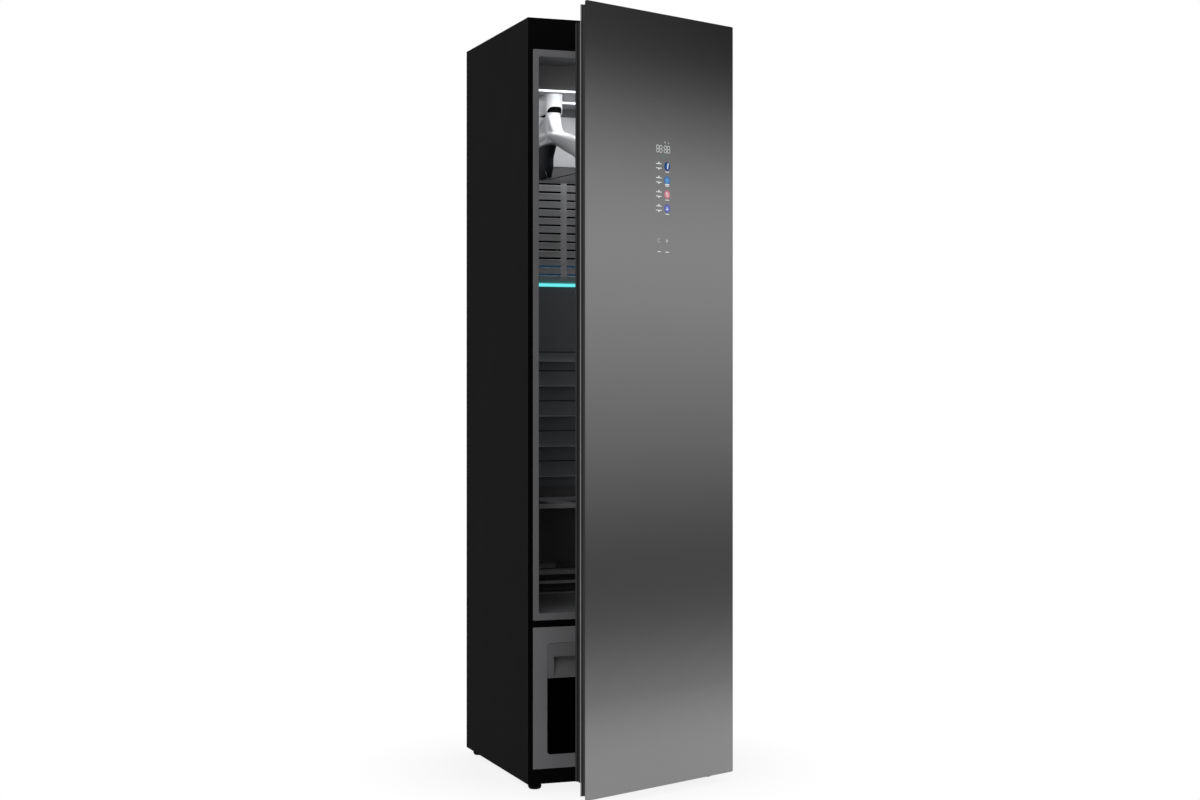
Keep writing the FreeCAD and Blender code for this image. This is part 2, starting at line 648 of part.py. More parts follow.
def base_pan():
    """Pressed tray that closes the bottom, with four threaded foot bosses."""
    x = (-SIDE + SHEET, SIDE - SHEET)
    y = (BEHIND_PLATE + SHEET, PANEL_REAR - SHEET)
    shape = block(x, y, (BODY_BOTTOM, PAN_TOP + PAN_WALL_HEIGHT))
    shape = shape.cut(block((x[0] + PAN, x[1] - PAN), (y[0] + PAN, y[1] - PAN), (PAN_TOP, HEIGHT)))
    half = BOSS_SIZE / 2
    for fx, fy in foot_places().values():
        boss = block((fx - half, fx + half), (fy - half, fy + half), (PAN_TOP, PAN_TOP + BOSS_HEIGHT))
        shape = shape.fuse(boss)
    for fx, fy in foot_places().values():
        shape = shape.cut(rod(STEM_RADIUS + RUN_FIT, (fx, fy, 0), (fx, fy, PAN_TOP + BOSS_HEIGHT + 1)))
    return shape.removeSplitter()


def foot(place):
    """Levelling foot: pad with grip flats, spanner hexagon and threaded stem."""
    pad = regular(place, FOOT_RADIUS, FOOT_FACETS, (0, FOOT_PAD))
    rim = [edge for edge in pad.Edges if max(v.Point.z for v in edge.Vertexes) < 0.1]
    pad = pad.makeChamfer(FOOT_CHAMFER, rim)
    spanner = regular(place, SPANNER_RADIUS, SPANNER_FACETS, (FOOT_PAD, FOOT_PAD + SPANNER_HEIGHT))
    stem = regular(place, STEM_RADIUS, FOOT_FACETS, (FOOT_PAD, FOOT_STEM_TOP))
    return joined([pad, spanner, stem])


# ---------------------------------------------------------------- chamber
def chamber_liner():
    """Moulded chamber with a mouth flange, a duct window behind and holes for air and steam."""
    wall = LINER_WALL
    outer = rounded((-CHAMBER_SIDE - wall, CHAMBER_SIDE + wall), (FRONT, LINER_REAR), (LINER_UNDER, LINER_TOP),
                    MOUTH_RADIUS + wall, Y_AXIS)
    flange = rounded((-WINDOW_SIDE + CLEAR, WINDOW_SIDE - CLEAR), (FRONT, BEHIND_PLATE),
                     (SILL + CLEAR, WINDOW_TOP - CLEAR), WINDOW_RADIUS, Y_AXIS)
    cavity = rounded((-CHAMBER_SIDE, CHAMBER_SIDE), (FRONT - 1, CHAMBER_REAR), (CHAMBER_FLOOR, CHAMBER_CEILING),
                     MOUTH_RADIUS, Y_AXIS)
    half = OUTLET_HALF_WIDTH + 5
    duct_window = block((-half, half), (CHAMBER_REAR - 1, LINER_REAR + 1),
                        (RIBBED_BOTTOM + DUCT_WINDOW_LAP, GRILLE_TOP - DUCT_WINDOW_LAP))
    fan_hole = fan_outlet(CEILING_FAN_AT, (CHAMBER_CEILING - 1, LINER_TOP + 1))
    steam_hole = regular(steam_outlet(), STEAM_PIPE_RADIUS + 2 * CLEAR, TUBE_FACETS,
                         (LINER_UNDER - 1, CHAMBER_FLOOR + 1))
    return outer.fuse(flange).cut([cavity, duct_window, fan_hole, steam_hole]).removeSplitter()


def back_grille():
    """Upper rear panel with two columns of slots that climb through it."""
    shape = block((-PANEL_HALF_WIDTH, PANEL_HALF_WIDTH), (PANEL_FACE, CHAMBER_REAR), (STRIP_TOP, GRILLE_TOP))
    half = SLOT_HEIGHT / 2
    cuts = []
    for row in range(SLOT_ROWS):
        z = SLOT_FIRST + row * SLOT_PITCH
        section = [(PANEL_FACE - 1, z - half), (CHAMBER_REAR + 1, z - half + SLOT_RISE),
                   (CHAMBER_REAR + 1, z + half + SLOT_RISE), (PANEL_FACE - 1, z + half)]
        x = (SLOT_MIDDLE_GAP / 2, SLOT_MIDDLE_GAP / 2 + SLOT_LENGTH)
        cuts += [prism_x(section, x), prism_x(section, (-x[1], -x[0]))]
    return shape.cut(cuts)


def back_light_strip():
    """Light guide between the two rear panels."""
    return block((-PANEL_HALF_WIDTH, PANEL_HALF_WIDTH), (PANEL_FACE - STRIP_PROUD, CHAMBER_REAR),
                 (STRIP_BOTTOM, STRIP_TOP))


def back_rib_panel():
    """Lower rear panel with sloping ribs that shade the air outlets below them."""
    outline = [(CHAMBER_REAR, RIBBED_BOTTOM), (PANEL_FACE, RIBBED_BOTTOM)]
    ribs = [(RIB_LOWEST + i * RIB_PITCH, RIB_HEIGHT, RIB_PROUD) for i in range(RIB_COUNT)]
    ribs.append((LEAD_RIB_EDGE, LEAD_RIB_HEIGHT, LEAD_RIB_PROUD))
    for edge, height, proud in ribs:
        outline += [(PANEL_FACE, edge), (PANEL_FACE - proud, edge), (PANEL_FACE - proud, edge + RIB_LIP),
                    (PANEL_FACE, edge + height)]
    outline += [(PANEL_FACE, STRIP_BOTTOM), (CHAMBER_REAR, STRIP_BOTTOM)]
    shape = prism_x(outline, (-PANEL_HALF_WIDTH, PANEL_HALF_WIDTH))
    outlets = [block((-OUTLET_HALF_WIDTH, OUTLET_HALF_WIDTH), (FRONT, REAR),
                     (edge - OUTLET_DROP - OUTLET_HEIGHT, edge - OUTLET_DROP)) for edge, _, _ in ribs]
    return shape.cut(outlets)


def rear_duct():
    """Shallow tray behind the liner that carries air between the base and the rear panels."""
    wall = DUCT_WALL
    y = (LINER_REAR, LINER_REAR + DUCT_DEPTH)
    shape = block((-DUCT_HALF_WIDTH, DUCT_HALF_WIDTH), y, (DUCT_BOTTOM, CHAMBER_CEILING))
    hollow = block((-DUCT_HALF_WIDTH + wall, DUCT_HALF_WIDTH - wall), (y[0] - 1, y[1] - wall),
                   (DUCT_BOTTOM + wall, HEIGHT))
    return shape.cut(hollow)


def steam_outlet():
    """(x, y) of the steam pipe's end under the vent box."""
    return STEAM_AT[0] + STEAM_OUTLET_SHIFT[0], VENT_FRONT + STEAM_OUTLET_SHIFT[1]


def vent_profile(inset=0.0):
    """(y, z) outline of the vent box, sloping up to the rear wall."""
    return [(VENT_FRONT + inset, CHAMBER_FLOOR), (CHAMBER_REAR - inset, CHAMBER_FLOOR),
            (CHAMBER_REAR - inset, CHAMBER_FLOOR + VENT_REAR_HEIGHT - inset),
            (VENT_FRONT + inset, CHAMBER_FLOOR + VENT_FRONT_HEIGHT - inset)]


def filter_range():
    """(y low, y high) of the filter inside the vent box."""
    low = VENT_FRONT + FILTER_SETBACK
    return low, low + FILTER_THICKNESS


def vent_box():
    """Hollow box over the steam outlet with two long slots and a slot above for the filter."""
    side = CHAMBER_SIDE - CLEAR
    wall = VENT_WALL
    shape = prism_x(vent_profile(), (-side, side))
    chamber = rounded((-side, side), (VENT_FRONT, REAR), (CHAMBER_FLOOR, SHELF_TOP), MOUTH_RADIUS, Y_AXIS)
    shape = shape.common(chamber)
    hollow = prism_x([(y, z - 1 if z == CHAMBER_FLOOR else z) for y, z in vent_profile(wall)],
                     (-side + wall, side - wall))
    cuts = [hollow]
    for low, high in VENT_SLOTS:
        cuts.append(block((-VENT_SLOT_HALF, VENT_SLOT_HALF), (VENT_FRONT - 1, VENT_FRONT + wall + 1),
                          (CHAMBER_FLOOR + low, CHAMBER_FLOOR + high)))
    low, high = filter_range()
    low -= FILTER_PLAY
    high += FILTER_PLAY
    reach = FILTER_HALF_WIDTH + FILTER_PLAY
    cuts.append(block((-reach, reach), (low, high), (CHAMBER_FLOOR + FILTER_LIFT + 2, SHELF_TOP)))
    rails = []
    foot_level = CHAMBER_FLOOR + 2
    for sign in (-1, 1):
        x = sorted((sign * (side - wall), sign * (reach - RAIL_GRIP)))
        for face in (low - RAIL, high):
            rails.append(block(x, (face, face + RAIL), (foot_level, CHAMBER_FLOOR + VENT_FRONT_HEIGHT - 4)))
        rails.append(block(x, (low, high), (foot_level, CHAMBER_FLOOR + FILTER_LIFT)))
    return shape.cut(cuts).fuse(rails).removeSplitter()


def lint_filter():
    """Filter cassette: frame, cross bars and a grip tab, lifted out upwards."""
    y = filter_range()
    bottom = CHAMBER_FLOOR + FILTER_LIFT + CLEAR
    top = CHAMBER_FLOOR + VENT_FRONT_HEIGHT + FILTER_PROUD
    x = (-FILTER_HALF_WIDTH, FILTER_HALF_WIDTH)
    shape = block(x, y, (bottom, top))
    border = FILTER_BORDER
    shape = shape.cut(block((x[0] + border, x[1] - border), (y[0] - 1, y[1] + 1), (bottom + border, top - border)))
    inner = (y[0] + 2, y[1] - 2)
    bars = []
    for i in range(1, FILTER_BAY_COUNT):
        middle = x[0] + (x[1] - x[0]) * i / FILTER_BAY_COUNT
        bars.append(block((middle - FILTER_BAR / 2, middle + FILTER_BAR / 2), inner, (bottom, top)))
    mesh_face = inner[1] - 1
    mesh = block((x[0] + 2, x[1] - 2), (mesh_face - FILTER_MESH / 2, mesh_face + FILTER_MESH / 2),
                 (bottom + 2, top - 2))
    tab = block((-FILTER_TAB / 2, FILTER_TAB / 2), inner, (top - 1, top + FILTER_TAB_HEIGHT))
    return joined([shape, mesh, tab] + bars)


def ceiling_duct():
    """Plenum under the chamber ceiling that feeds the hanger sockets."""
    side = CHAMBER_SIDE - CLEAR
    wall = LINER_WALL
    x = (-side, side)
    y = (DUCT_BOX_FRONT, CHAMBER_REAR)
    shape = block(x, y, (DUCT_BOX_UNDERSIDE, CHAMBER_CEILING))
    front_edge = [edge for edge in edges_along(shape, X_AXIS)
                  if edge.Vertexes[0].Point.y < y[0] + 1 and edge.Vertexes[0].Point.z < DUCT_BOX_UNDERSIDE + 1]
    shape = shape.makeChamfer(DUCT_BOX_CHAMFER, front_edge)
    hollow = block((x[0] + wall, x[1] - wall), (y[0] + wall, y[1] - wall), (DUCT_BOX_UNDERSIDE + wall, HEIGHT))
    passages = [regular((hx, NECK_Y), AIR_PASSAGE, SOCKET_FACETS, (DUCT_BOX_UNDERSIDE - 1, HEIGHT))
                for hx in HANGER_XS.values()]
    corners = [edge for edge in edges_along(shape, Y_AXIS) if edge.Vertexes[0].Point.z > CHAMBER_CEILING - 1]
    shape = shape.makeFillet(MOUTH_RADIUS, corners)
    return shape.cut([hollow] + passages)


def ceiling_lights():
    """Two diffuser bars under the ceiling duct."""
    side = CHAMBER_SIDE - LAMP_INSET
    z = (DUCT_BOX_UNDERSIDE - LAMP_HEIGHT, DUCT_BOX_UNDERSIDE)
    return [block((-side, side), (y, y + LAMP_DEPTH), z) for y in (DUCT_BOX_FRONT + LAMP_SETBACK, REAR_LAMP)]


def hanger_sockets():
    """Three sockets with a round bore from below and an arch in the front wall."""
    sockets = []
    for hx in HANGER_XS.values():
        y = (NECK_Y - SOCKET_FRONT, NECK_Y + SOCKET_REAR)
        body = block((hx - SOCKET_HALF_WIDTH, hx + SOCKET_HALF_WIDTH), y, (SOCKET_BOTTOM, DUCT_BOX_UNDERSIDE))
        corners = [edge for edge in edges_along(body, Z_AXIS) if edge.Vertexes[0].Point.y < NECK_Y]
        body = body.makeFillet(SOCKET_CORNER, corners)
        bore = regular((hx, NECK_Y), SOCKET_BORE + 2 * CLEAR, SOCKET_FACETS, (SOCKET_BOTTOM - 1, HEIGHT))
        arch_z = SOCKET_BOTTOM - SOCKET_ARCH_DROP
        arch = rod(SOCKET_BORE, (hx, NECK_Y - SOCKET_FRONT - 1, arch_z), (hx, NECK_Y, arch_z))
        sockets.append(body.cut([bore, arch]))
    return sockets


# ---------------------------------------------------------------- air hangers
def arm_form():
    """Sections of the arms from the front tip to the rear tip."""
    front = [(-share, *rest) for share, *rest in reversed(ARM_SECTIONS)]
    return front + ARM_SECTIONS[1:]


def arm_at(share):
    """(crown, keel, sideways sweep) of the arms at a share of their length."""
    share = abs(share)
    for (s0, *low), (s1, *high) in zip(ARM_SECTIONS, ARM_SECTIONS[1:]):
        if share <= s1:
            mix = (share - s0) / (s1 - s0)
            blend = [a + (b - a) * mix for a, b in zip(low, high)]
            return blend[0], blend[1], blend[4]
    raise ValueError("the arms end at a share of 1")


def arm_section(hx, share, crown, keel, half, keel_half, sweep):
    """Closed arm section: arched crown, sides that draw in to a round keel."""
    x = hx + sweep
    y = NECK_Y + share * ARM_LENGTH
    shoulder = crown - SHOULDER_SHARE * half
    bilge = keel + BILGE_SHARE * keel_half
    left, right = V(x - half, y, shoulder), V(x + half, y, shoulder)
    keel_left, keel_right = V(x - keel_half, y, bilge), V(x + keel_half, y, bilge)
    upper = arc_points(left, V(x, y, crown), right, CROWN_FACETS)
    return upper + arc_points(keel_right, V(x, y, keel), keel_left, KEEL_FACETS)


def arms(hx):
    """Both shoulder arms as one loft from front tip to rear tip."""
    return hull_between([arm_section(hx, *form) for form in arm_form()])


def air_channel(hx):
    """Channel that carries air from the neck into both arms, with outlets in the keel."""
    lid, floor = [], []
    for share in CHANNEL_SHARES:
        crown, keel, _ = arm_at(share)
        y = NECK_Y + share * ARM_LENGTH
        lid.append((y, crown - CHANNEL_LID))
        floor.append((y, keel + CHANNEL_FLOOR))
    x = (hx + CHANNEL[0], hx + CHANNEL[1])
    cuts = [prism_x(lid + floor[::-1], x)]
    for share in OUTLET_SHARES:
        for y in (NECK_Y - share * ARM_LENGTH, NECK_Y + share * ARM_LENGTH):
            cuts.append(block((x[0] + 2, x[1]), (y - OUTLET_LENGTH / 2, y + OUTLET_LENGTH / 2),
                              (ARM_SECTIONS[-1][2], arm_at(share)[1] + CHANNEL_FLOOR + 3)))
    return cuts


def hanger_shell(hx):
    """Hollow white hanger: neck with collar, shoulder arms and air slots under the arms."""
    axis = (hx, NECK_Y)
    r = NECK_RADIUS
    collar_top = COLLAR_BOTTOM + COLLAR_HEIGHT
    neck = turned([(r + 3, SHOULDER - 14), (r + 1.5, SHOULDER + 8), (r, SHOULDER + 22), (r, COLLAR_BOTTOM),
                   (COLLAR_RADIUS, COLLAR_BOTTOM), (COLLAR_RADIUS, collar_top), (r, collar_top), (r, NECK_TOP)],
                  axis, NECK_FACETS)
    web_edge = [(NECK_Y + behind, DUCT_BOX_UNDERSIDE - drop) for behind, drop in WEB_FORM]
    web = prism_x(web_edge + [(NECK_Y, web_edge[-1][1])], (hx - WEB_HALF, hx + WEB_HALF))
    bore = regular(axis, r - NECK_WALL, NECK_FACETS, (arm_at(0)[1] + CHANNEL_FLOOR, NECK_TOP + 1))
    return joined([arms(hx), neck, web]).cut([bore] + air_channel(hx))


def nozzle_section(hx, z, half_length, half_width):
    """Oval outline with flat sides and round ends."""
    straight = half_length - half_width
    x0, x1 = hx - half_width, hx + half_width
    y0, y1 = NECK_Y - straight, NECK_Y + straight
    rear = arc_points(V(x1, y1, z), V(hx, y1 + half_width, z), V(x0, y1, z), NOZZLE_FACETS)
    front = arc_points(V(x0, y0, z), V(hx, y0 - half_width, z), V(x1, y0, z), NOZZLE_FACETS)
    return rear + front


def nozzle(hx):
    """Dark air outlet that hangs under the hanger, open below."""
    outer = hull_between([nozzle_section(hx, *form) for form in NOZZLE_SECTIONS])
    wall = NOZZLE_WALL
    low, low_length, low_width = NOZZLE_SECTIONS[-1]
    inner = hull_between([nozzle_section(hx, NOZZLE_SECTIONS[0][0], low_length + NOZZLE_FLARE, low_width - wall),
                          nozzle_section(hx, low - 1, low_length - wall, low_width - wall)])
    shell = outer.cut([inner, arms(hx)])
    return max(shell.Solids, key=lambda solid: solid.Volume)


def trouser_bar(hx):
    """Wire bar hung from the two arm tips below the nozzle."""
    _, keel, sweep = arm_at(BAR_SHARE)
    reach = BAR_SHARE * ARM_LENGTH
    low = NOZZLE_BOTTOM - BAR_RADIUS - CLEAR
    x = hx + sweep
    top = keel - BAR_SEAT
    route = [(x, NECK_Y - reach, top), (x, NECK_Y - reach, low), (x, NECK_Y + reach, low), (x, NECK_Y + reach, top)]
    return pipe(route, BAR_RADIUS, BAR_BEND, BAR_FACETS)


# ---------------------------------------------------------------- shelf
def shelf():
    """Moulded shelf with three openings between broad bars and a deeper front lip."""
    half = CHAMBER_SIDE - SHELF_SIDE_GAP
    y = (SHELF_FRONT, CHAMBER_REAR - SHELF_BACK_GAP)
    z = (SHELF_TOP - SHELF_THICKNESS, SHELF_TOP)
    shape = block((-half, half), y, z)
    middle = SHELF_MIDDLE_OPENING / 2
    spans = [(-middle, middle), (middle + SHELF_BAR, half - SHELF_RIM), (-half + SHELF_RIM, -middle - SHELF_BAR)]
    openings = [block(x, (y[0] + SHELF_RIM, y[1] - SHELF_REAR_RIM), (z[0] - 1, z[1] + 1)) for x in spans]
    lip = block((-half + LIP_INSET, half - LIP_INSET), (y[0], y[0] + LIP_THICKNESS), (z[0] - LIP_DROP, z[1]))
    return shape.cut(openings).fuse(lip).removeSplitter()


def shelf_runners():
    """Left and right runners on the chamber walls with a stop at the back."""
    top = SHELF_TOP - SHELF_THICKNESS - CLEAR
    x = (-CHAMBER_SIDE, -CHAMBER_SIDE + RUNNER_WIDTH)
    stop = CHAMBER_REAR - SHELF_BACK_GAP + CLEAR
    rail = block(x, (SHELF_FRONT - RUNNER_LEAD, CHAMBER_REAR), (top - RUNNER_HEIGHT, top))
    nib = block(x, (stop, CHAMBER_REAR), (top - RUNNER_HEIGHT, SHELF_TOP))
    left = joined([rail, nib])
    return [left, mirrored(left)]


# ---------------------------------------------------------------- water tanks
def tank_opening(grow, y):
    """Outline of the right-hand tank, grown on every side."""
    return rounded((TANK_INNER - grow, TANK_OUTER + grow), y, (TANK_BOTTOM - grow, TANK_TOP + grow),
                   TANK_RADIUS + grow, Y_AXIS)


def tank_fascia():
    """Grey plate round both tanks."""
    plate = block((-WINDOW_SIDE + CLEAR, WINDOW_SIDE - CLEAR), (FRONT, BEHIND_PLATE),
                  (FASCIA_BOTTOM + CLEAR, FASCIA_TOP - CLEAR))
    hole = tank_opening(0, (FRONT - 1, BEHIND_PLATE + 1))
    return plate.cut([hole, mirrored(hole)])


def tank_bay():
    """Moulded bay with a compartment for each tank, standing on the base pan."""
    wall = BAY_WALL
    y = (BEHIND_PLATE, BAY_REAR)
    shape = block((-TANK_OUTER - wall, TANK_OUTER + wall), y, (TANK_BOTTOM - wall, TANK_TOP + wall))
    hole = block((TANK_INNER, TANK_OUTER), (y[0] - 1, y[1] - wall), (TANK_BOTTOM, TANK_TOP))
    shape = shape.cut([hole, mirrored(hole)])
    leg_x = TANK_OUTER - BAY_LEG_INSET
    leg = block((leg_x - BAY_LEG, leg_x), (y[0] + 6, y[1] - 6), (PAN_TOP, TANK_BOTTOM - wall))
    added = [leg, mirrored(leg)]
    for x in (TANK_INNER + BAY_RAIL_INSET, TANK_OUTER - BAY_RAIL_INSET - BAY_RAIL):
        seat = block((x, x + BAY_RAIL), (y[0], y[1] - wall), (TANK_BOTTOM, TANK_BOTTOM + TANK_GAP - CLEAR))
        added += [seat, mirrored(seat)]
    return joined([shape] + added)


def tank_body():
    """Right-hand reservoir, open above, its lower front flush with the fascia."""
    whole = tank_opening(-TANK_GAP, (FRONT, TANK_REAR))
    grip_space = block((0, SIDE), (FRONT - 1, FRONT + TANK_GRIP_DEPTH), (TANK_WINDOW_TOP, HEIGHT))
    lid_space = block((0, SIDE), (FRONT - 1, REAR), (TANK_TOP - TANK_GAP - TANK_LID, HEIGHT))
    wall = TANK_WALL
    x = (TANK_INNER + TANK_GAP + wall, TANK_OUTER - TANK_GAP - wall)
    low = TANK_BOTTOM + TANK_GAP + wall
    hollow = block(x, (FRONT + TANK_GRIP_DEPTH + wall, TANK_REAR - wall), (low, HEIGHT))
    front_hollow = block(x, (FRONT + wall, TANK_REAR - wall), (low, TANK_WINDOW_TOP - wall))
    return whole.cut([grip_space, lid_space, hollow, front_hollow])


def tank_front():
    """Grip block with a scooped pull and the lid with its filling hole."""
    whole = tank_opening(-TANK_GAP, (FRONT, TANK_REAR))
    lid_bottom = TANK_TOP - TANK_GAP - TANK_LID
    grip = whole.common(block((0, SIDE), (FRONT, FRONT + TANK_GRIP_DEPTH), (TANK_WINDOW_TOP, HEIGHT)))
    lid = whole.common(block((0, SIDE), (FRONT, TANK_REAR), (lid_bottom, HEIGHT)))
    x = (TANK_INNER + TANK_GAP + GRIP_INSET, TANK_OUTER - TANK_GAP - GRIP_INSET)
    scoop = prism_x([(FRONT - 1, GRIP_BOTTOM - 1), (FRONT - 1, GRIP_TOP), (FRONT + GRIP_RECESS, GRIP_TOP),
                     (FRONT + GRIP_RECESS, GRIP_TOP - GRIP_LIP), (FRONT + 0.5, GRIP_BOTTOM)], x)
    fill_at = ((TANK_INNER + TANK_OUTER) / 2, FRONT + TANK_DEPTH * FILL_SHARE)
    fill = regular(fill_at, FILL_RADIUS, FILL_FACETS, (lid_bottom - 1, HEIGHT))
    return joined([grip, lid]).cut([scoop, fill])


# ---------------------------------------------------------------- machinery in the base and ceiling
def compressor():
    """Hermetic can on a foot plate with a terminal box."""
    x, y = COMPRESSOR_AT
    r, h = COMPRESSOR_RADIUS, COMPRESSOR_HEIGHT
    low = PAN_TOP + COMPRESSOR_LIFT
    can = turned([(r - CAN_FOOT_INSET, low), (r, low + CAN_FOOT_RISE), (r, low + h - CAN_SHOULDER_DROP),
                  (r - CAN_SHOULDER_INSET, low + h - CAN_DOME_DROP), (r - CAN_CROWN_INSET, low + h)],
                 (x, y), CAN_FACETS)
    half = r + FOOT_PLATE_REACH
    plate = block((x - half, x + half), (y - FOOT_PLATE_HALF, y + FOOT_PLATE_HALF),
                  (low - FOOT_PLATE_UNDER, low + FOOT_PLATE_OVER))
    pads = [block((px - PAD_HALF, px + PAD_HALF), (py - PAD_HALF, py + PAD_HALF), (PAN_TOP, low - FOOT_PLATE_UNDER))
            for px in (x - half + PAD_INSET, x + half - PAD_INSET) for py in (y - PAD_SPREAD, y + PAD_SPREAD)]
    terminals = block((x - TERMINAL_HALF, x + TERMINAL_HALF), (y - r - TERMINAL_PROUD, y - r + TERMINAL_SUNK),
                      (low + TERMINAL_LOW, low + TERMINAL_HIGH))
    return joined([can, plate, terminals] + pads)


def coil(place):
    """Finned heat exchanger between two header tubes, standing on two feet."""
    x, y = place
    low = PAN_TOP + COIL_STAND
    half, deep = COIL_WIDTH / 2, COIL_DEPTH / 2
    z = (low, low + COIL_HEIGHT)
    core = block((x - half, x + half), (y - deep + COIL_FIN_DEPTH, y + deep - COIL_FIN_DEPTH), z)
    count = int(COIL_WIDTH // COIL_FIN_PITCH)
    first = x - (count - 1) * COIL_FIN_PITCH / 2
    fins = [block((first + i * COIL_FIN_PITCH, first + i * COIL_FIN_PITCH + COIL_FIN), (y - deep, y + deep), z)
            for i in range(count)]
    headers = [regular((hx, y), HEADER_RADIUS, TUBE_FACETS, (low - HEADER_PROUD, z[1] + HEADER_PROUD))
               for hx in (x - half - HEADER_GAP, x + half + HEADER_GAP)]
    feet = [block((fx - 12, fx + 12), (y - deep, y + deep), (PAN_TOP, low)) for fx in (x - half + 16, x + half - 16)]
    return joined([core] + fins + headers + feet)


def fan_outlet(centre, z):
    """Opening in the floor of a fan casing, in front of its wheel."""
    x, y = centre
    half = FAN_OUTER - FAN_CORNER
    return block((x - half, x + half), (y - FAN_FRONT + 4, y - FAN_FRONT + FAN_OUTLET), z)


def fan(place, drop):
    """Casing with its motor, and the wheel, of a radial fan on a vertical axis.

    place is the axis foot (x, y, z); drop is how far the casing's legs reach below it.
    """
    x, y, z = place
    wall = FAN_WALL
    floor_top = z + wall
    roof = z + FAN_TOTAL
    corner = FAN_CORNER

    def outline(inset):
        side, front = FAN_OUTER - inset, FAN_FRONT - inset
        return [(x - side, y - front), (x + side, y - front), (x + side, y + side - corner),
                (x + side - corner, y + side), (x - side + corner, y + side), (x - side, y + side - corner)]

    casing = prism_z(outline(0), (z, roof))
    inner = prism_z(outline(wall), (floor_top, roof - wall))
    eye = regular((x, y), FAN_RADIUS * FAN_EYE_SHARE, 2 * BLADE_COUNT, (roof - wall - 1, roof + 1))
    casing = casing.cut([inner, eye, fan_outlet((x, y), (z - 1, floor_top + 1))])
    motor_top = floor_top + FAN_MOTOR_HEIGHT
    shaft_top = motor_top + FAN_SHAFT_LENGTH
    motor = [regular((x, y), FAN_MOTOR_RADIUS, BLADE_COUNT, (floor_top, motor_top)),
             rod(FAN_SHAFT, (x, y, motor_top), (x, y, shaft_top))]
    half, spread = FAN_LEG / 2, FAN_LEG_SPREAD
    legs = [block((lx - half, lx + half), (ly - half, ly + half), (z - drop, z))
            for lx in (x - spread, x + spread) for ly in (y - spread, y + spread) if drop]
    casing = joined([casing] + motor + legs)

    disc_low = motor_top + 3
    top = floor_top + FAN_GAP + FAN_HEIGHT
    disc = regular((x, y), FAN_RADIUS, 2 * BLADE_COUNT, (disc_low, disc_low + 2))
    hub = regular((x, y), FAN_HUB, BLADE_COUNT, (disc_low, shaft_top + 2))
    bore = rod(FAN_SHAFT + RUN_FIT, (x, y, disc_low - 1), (x, y, shaft_top + CLEAR))
    tip = x + FAN_RADIUS - BLADE_INSET
    blades = []
    for i in range(BLADE_COUNT):
        blade = block((tip - BLADE_LENGTH, tip), (y - BLADE / 2, y + BLADE / 2), (disc_low, top))
        blade.rotate(V(tip, y, 0), Z_AXIS, BLADE_SWEEP_ANGLE)
        blade.rotate(V(x, y, 0), Z_AXIS, 360.0 * i / BLADE_COUNT)
        blades.append(blade)
    wheel = joined([disc, hub] + blades).cut(bore)
    return casing, wheel


def steam_generator():
    """Cast boiler block with ribs, a steam outlet and a mounting foot."""
    x, y = STEAM_AT
    w, d, h = STEAM_BOX
    low = PAN_TOP + STEAM_LIFT
    body = block((x - w / 2, x + w / 2), (y - d / 2, y + d / 2), (low, low + h))
    ribs = []
    for i in range(4):
        level = low + 16 + i * 18
        ribs.append(block((x - w / 2 - 3, x + w / 2 + 3), (y - d / 2 - 3, y + d / 2 + 3), (level, level + 4)))
    foot_block = block((x - w / 2 + 8, x + w / 2 - 8), (y - d / 2 + 8, y + d / 2 - 8), (PAN_TOP, low))
    spout = regular((x, y), STEAM_PIPE_RADIUS + 3, TUBE_FACETS, (low + h, low + h + STEAM_SPOUT))
    return joined([body, foot_block, spout] + ribs)


def steam_pipe():
    """Pipe from the boiler up to the vent box."""
    x, y = STEAM_AT
    start = PAN_TOP + STEAM_LIFT + STEAM_BOX[2] + STEAM_SPOUT
    ox, oy = steam_outlet()
    level = SILL - STEAM_PIPE_DROP
    route = [(x, y, start), (x, y, level), (ox, oy, level), (ox, oy, CHAMBER_FLOOR + 4)]
    return pipe(route, STEAM_PIPE_RADIUS, STEAM_PIPE_BEND, TUBE_FACETS)


def pumps():
    """Supply and drain pumps, side by side behind the tanks."""
    solids = []
    y = BAY_REAR + PUMP_BEHIND
    axis = PAN_TOP + PUMP_RADIUS + 4
    reach = PUMP_RADIUS + 3
    for x in (PUMP_INSET - SIDE, SIDE - PUMP_INSET):
        motor = pipe([(x, y, axis), (x + PUMP_LENGTH, y, axis)], PUMP_RADIUS, 0, PUMP_FACETS)
        head = block((x - PUMP_HEAD, x), (y - reach, y + reach), (PAN_TOP + 1, axis + reach))
        cradle = block((x + 10, x + PUMP_LENGTH - 8), (y - 12, y + 12), (PAN_TOP, axis - 8))
        solids.append(joined([motor, head, cradle]))
    return solids


def control_box():
    """Closed box of the power electronics on two legs."""
    x, y, z = CONTROL_AT
    w, d, h = CONTROL_BOX
    body = block((x - w / 2, x + w / 2), (y - d / 2, y + d / 2), (z - h / 2, z + h / 2))
    lap = CONTROL_LID
    lid = block((x - w / 2 - lap, x + w / 2 + lap), (y - d / 2 - lap, y - d / 2), (z - h / 2 - lap, z + h / 2 + lap))
    legs = [block((lx - 2, lx + 2), (y - 20, y + 20), (PAN_TOP, z - h / 2)) for lx in (x - w / 2 + 6, x + w / 2 - 6)]
    return joined([body, lid] + legs)


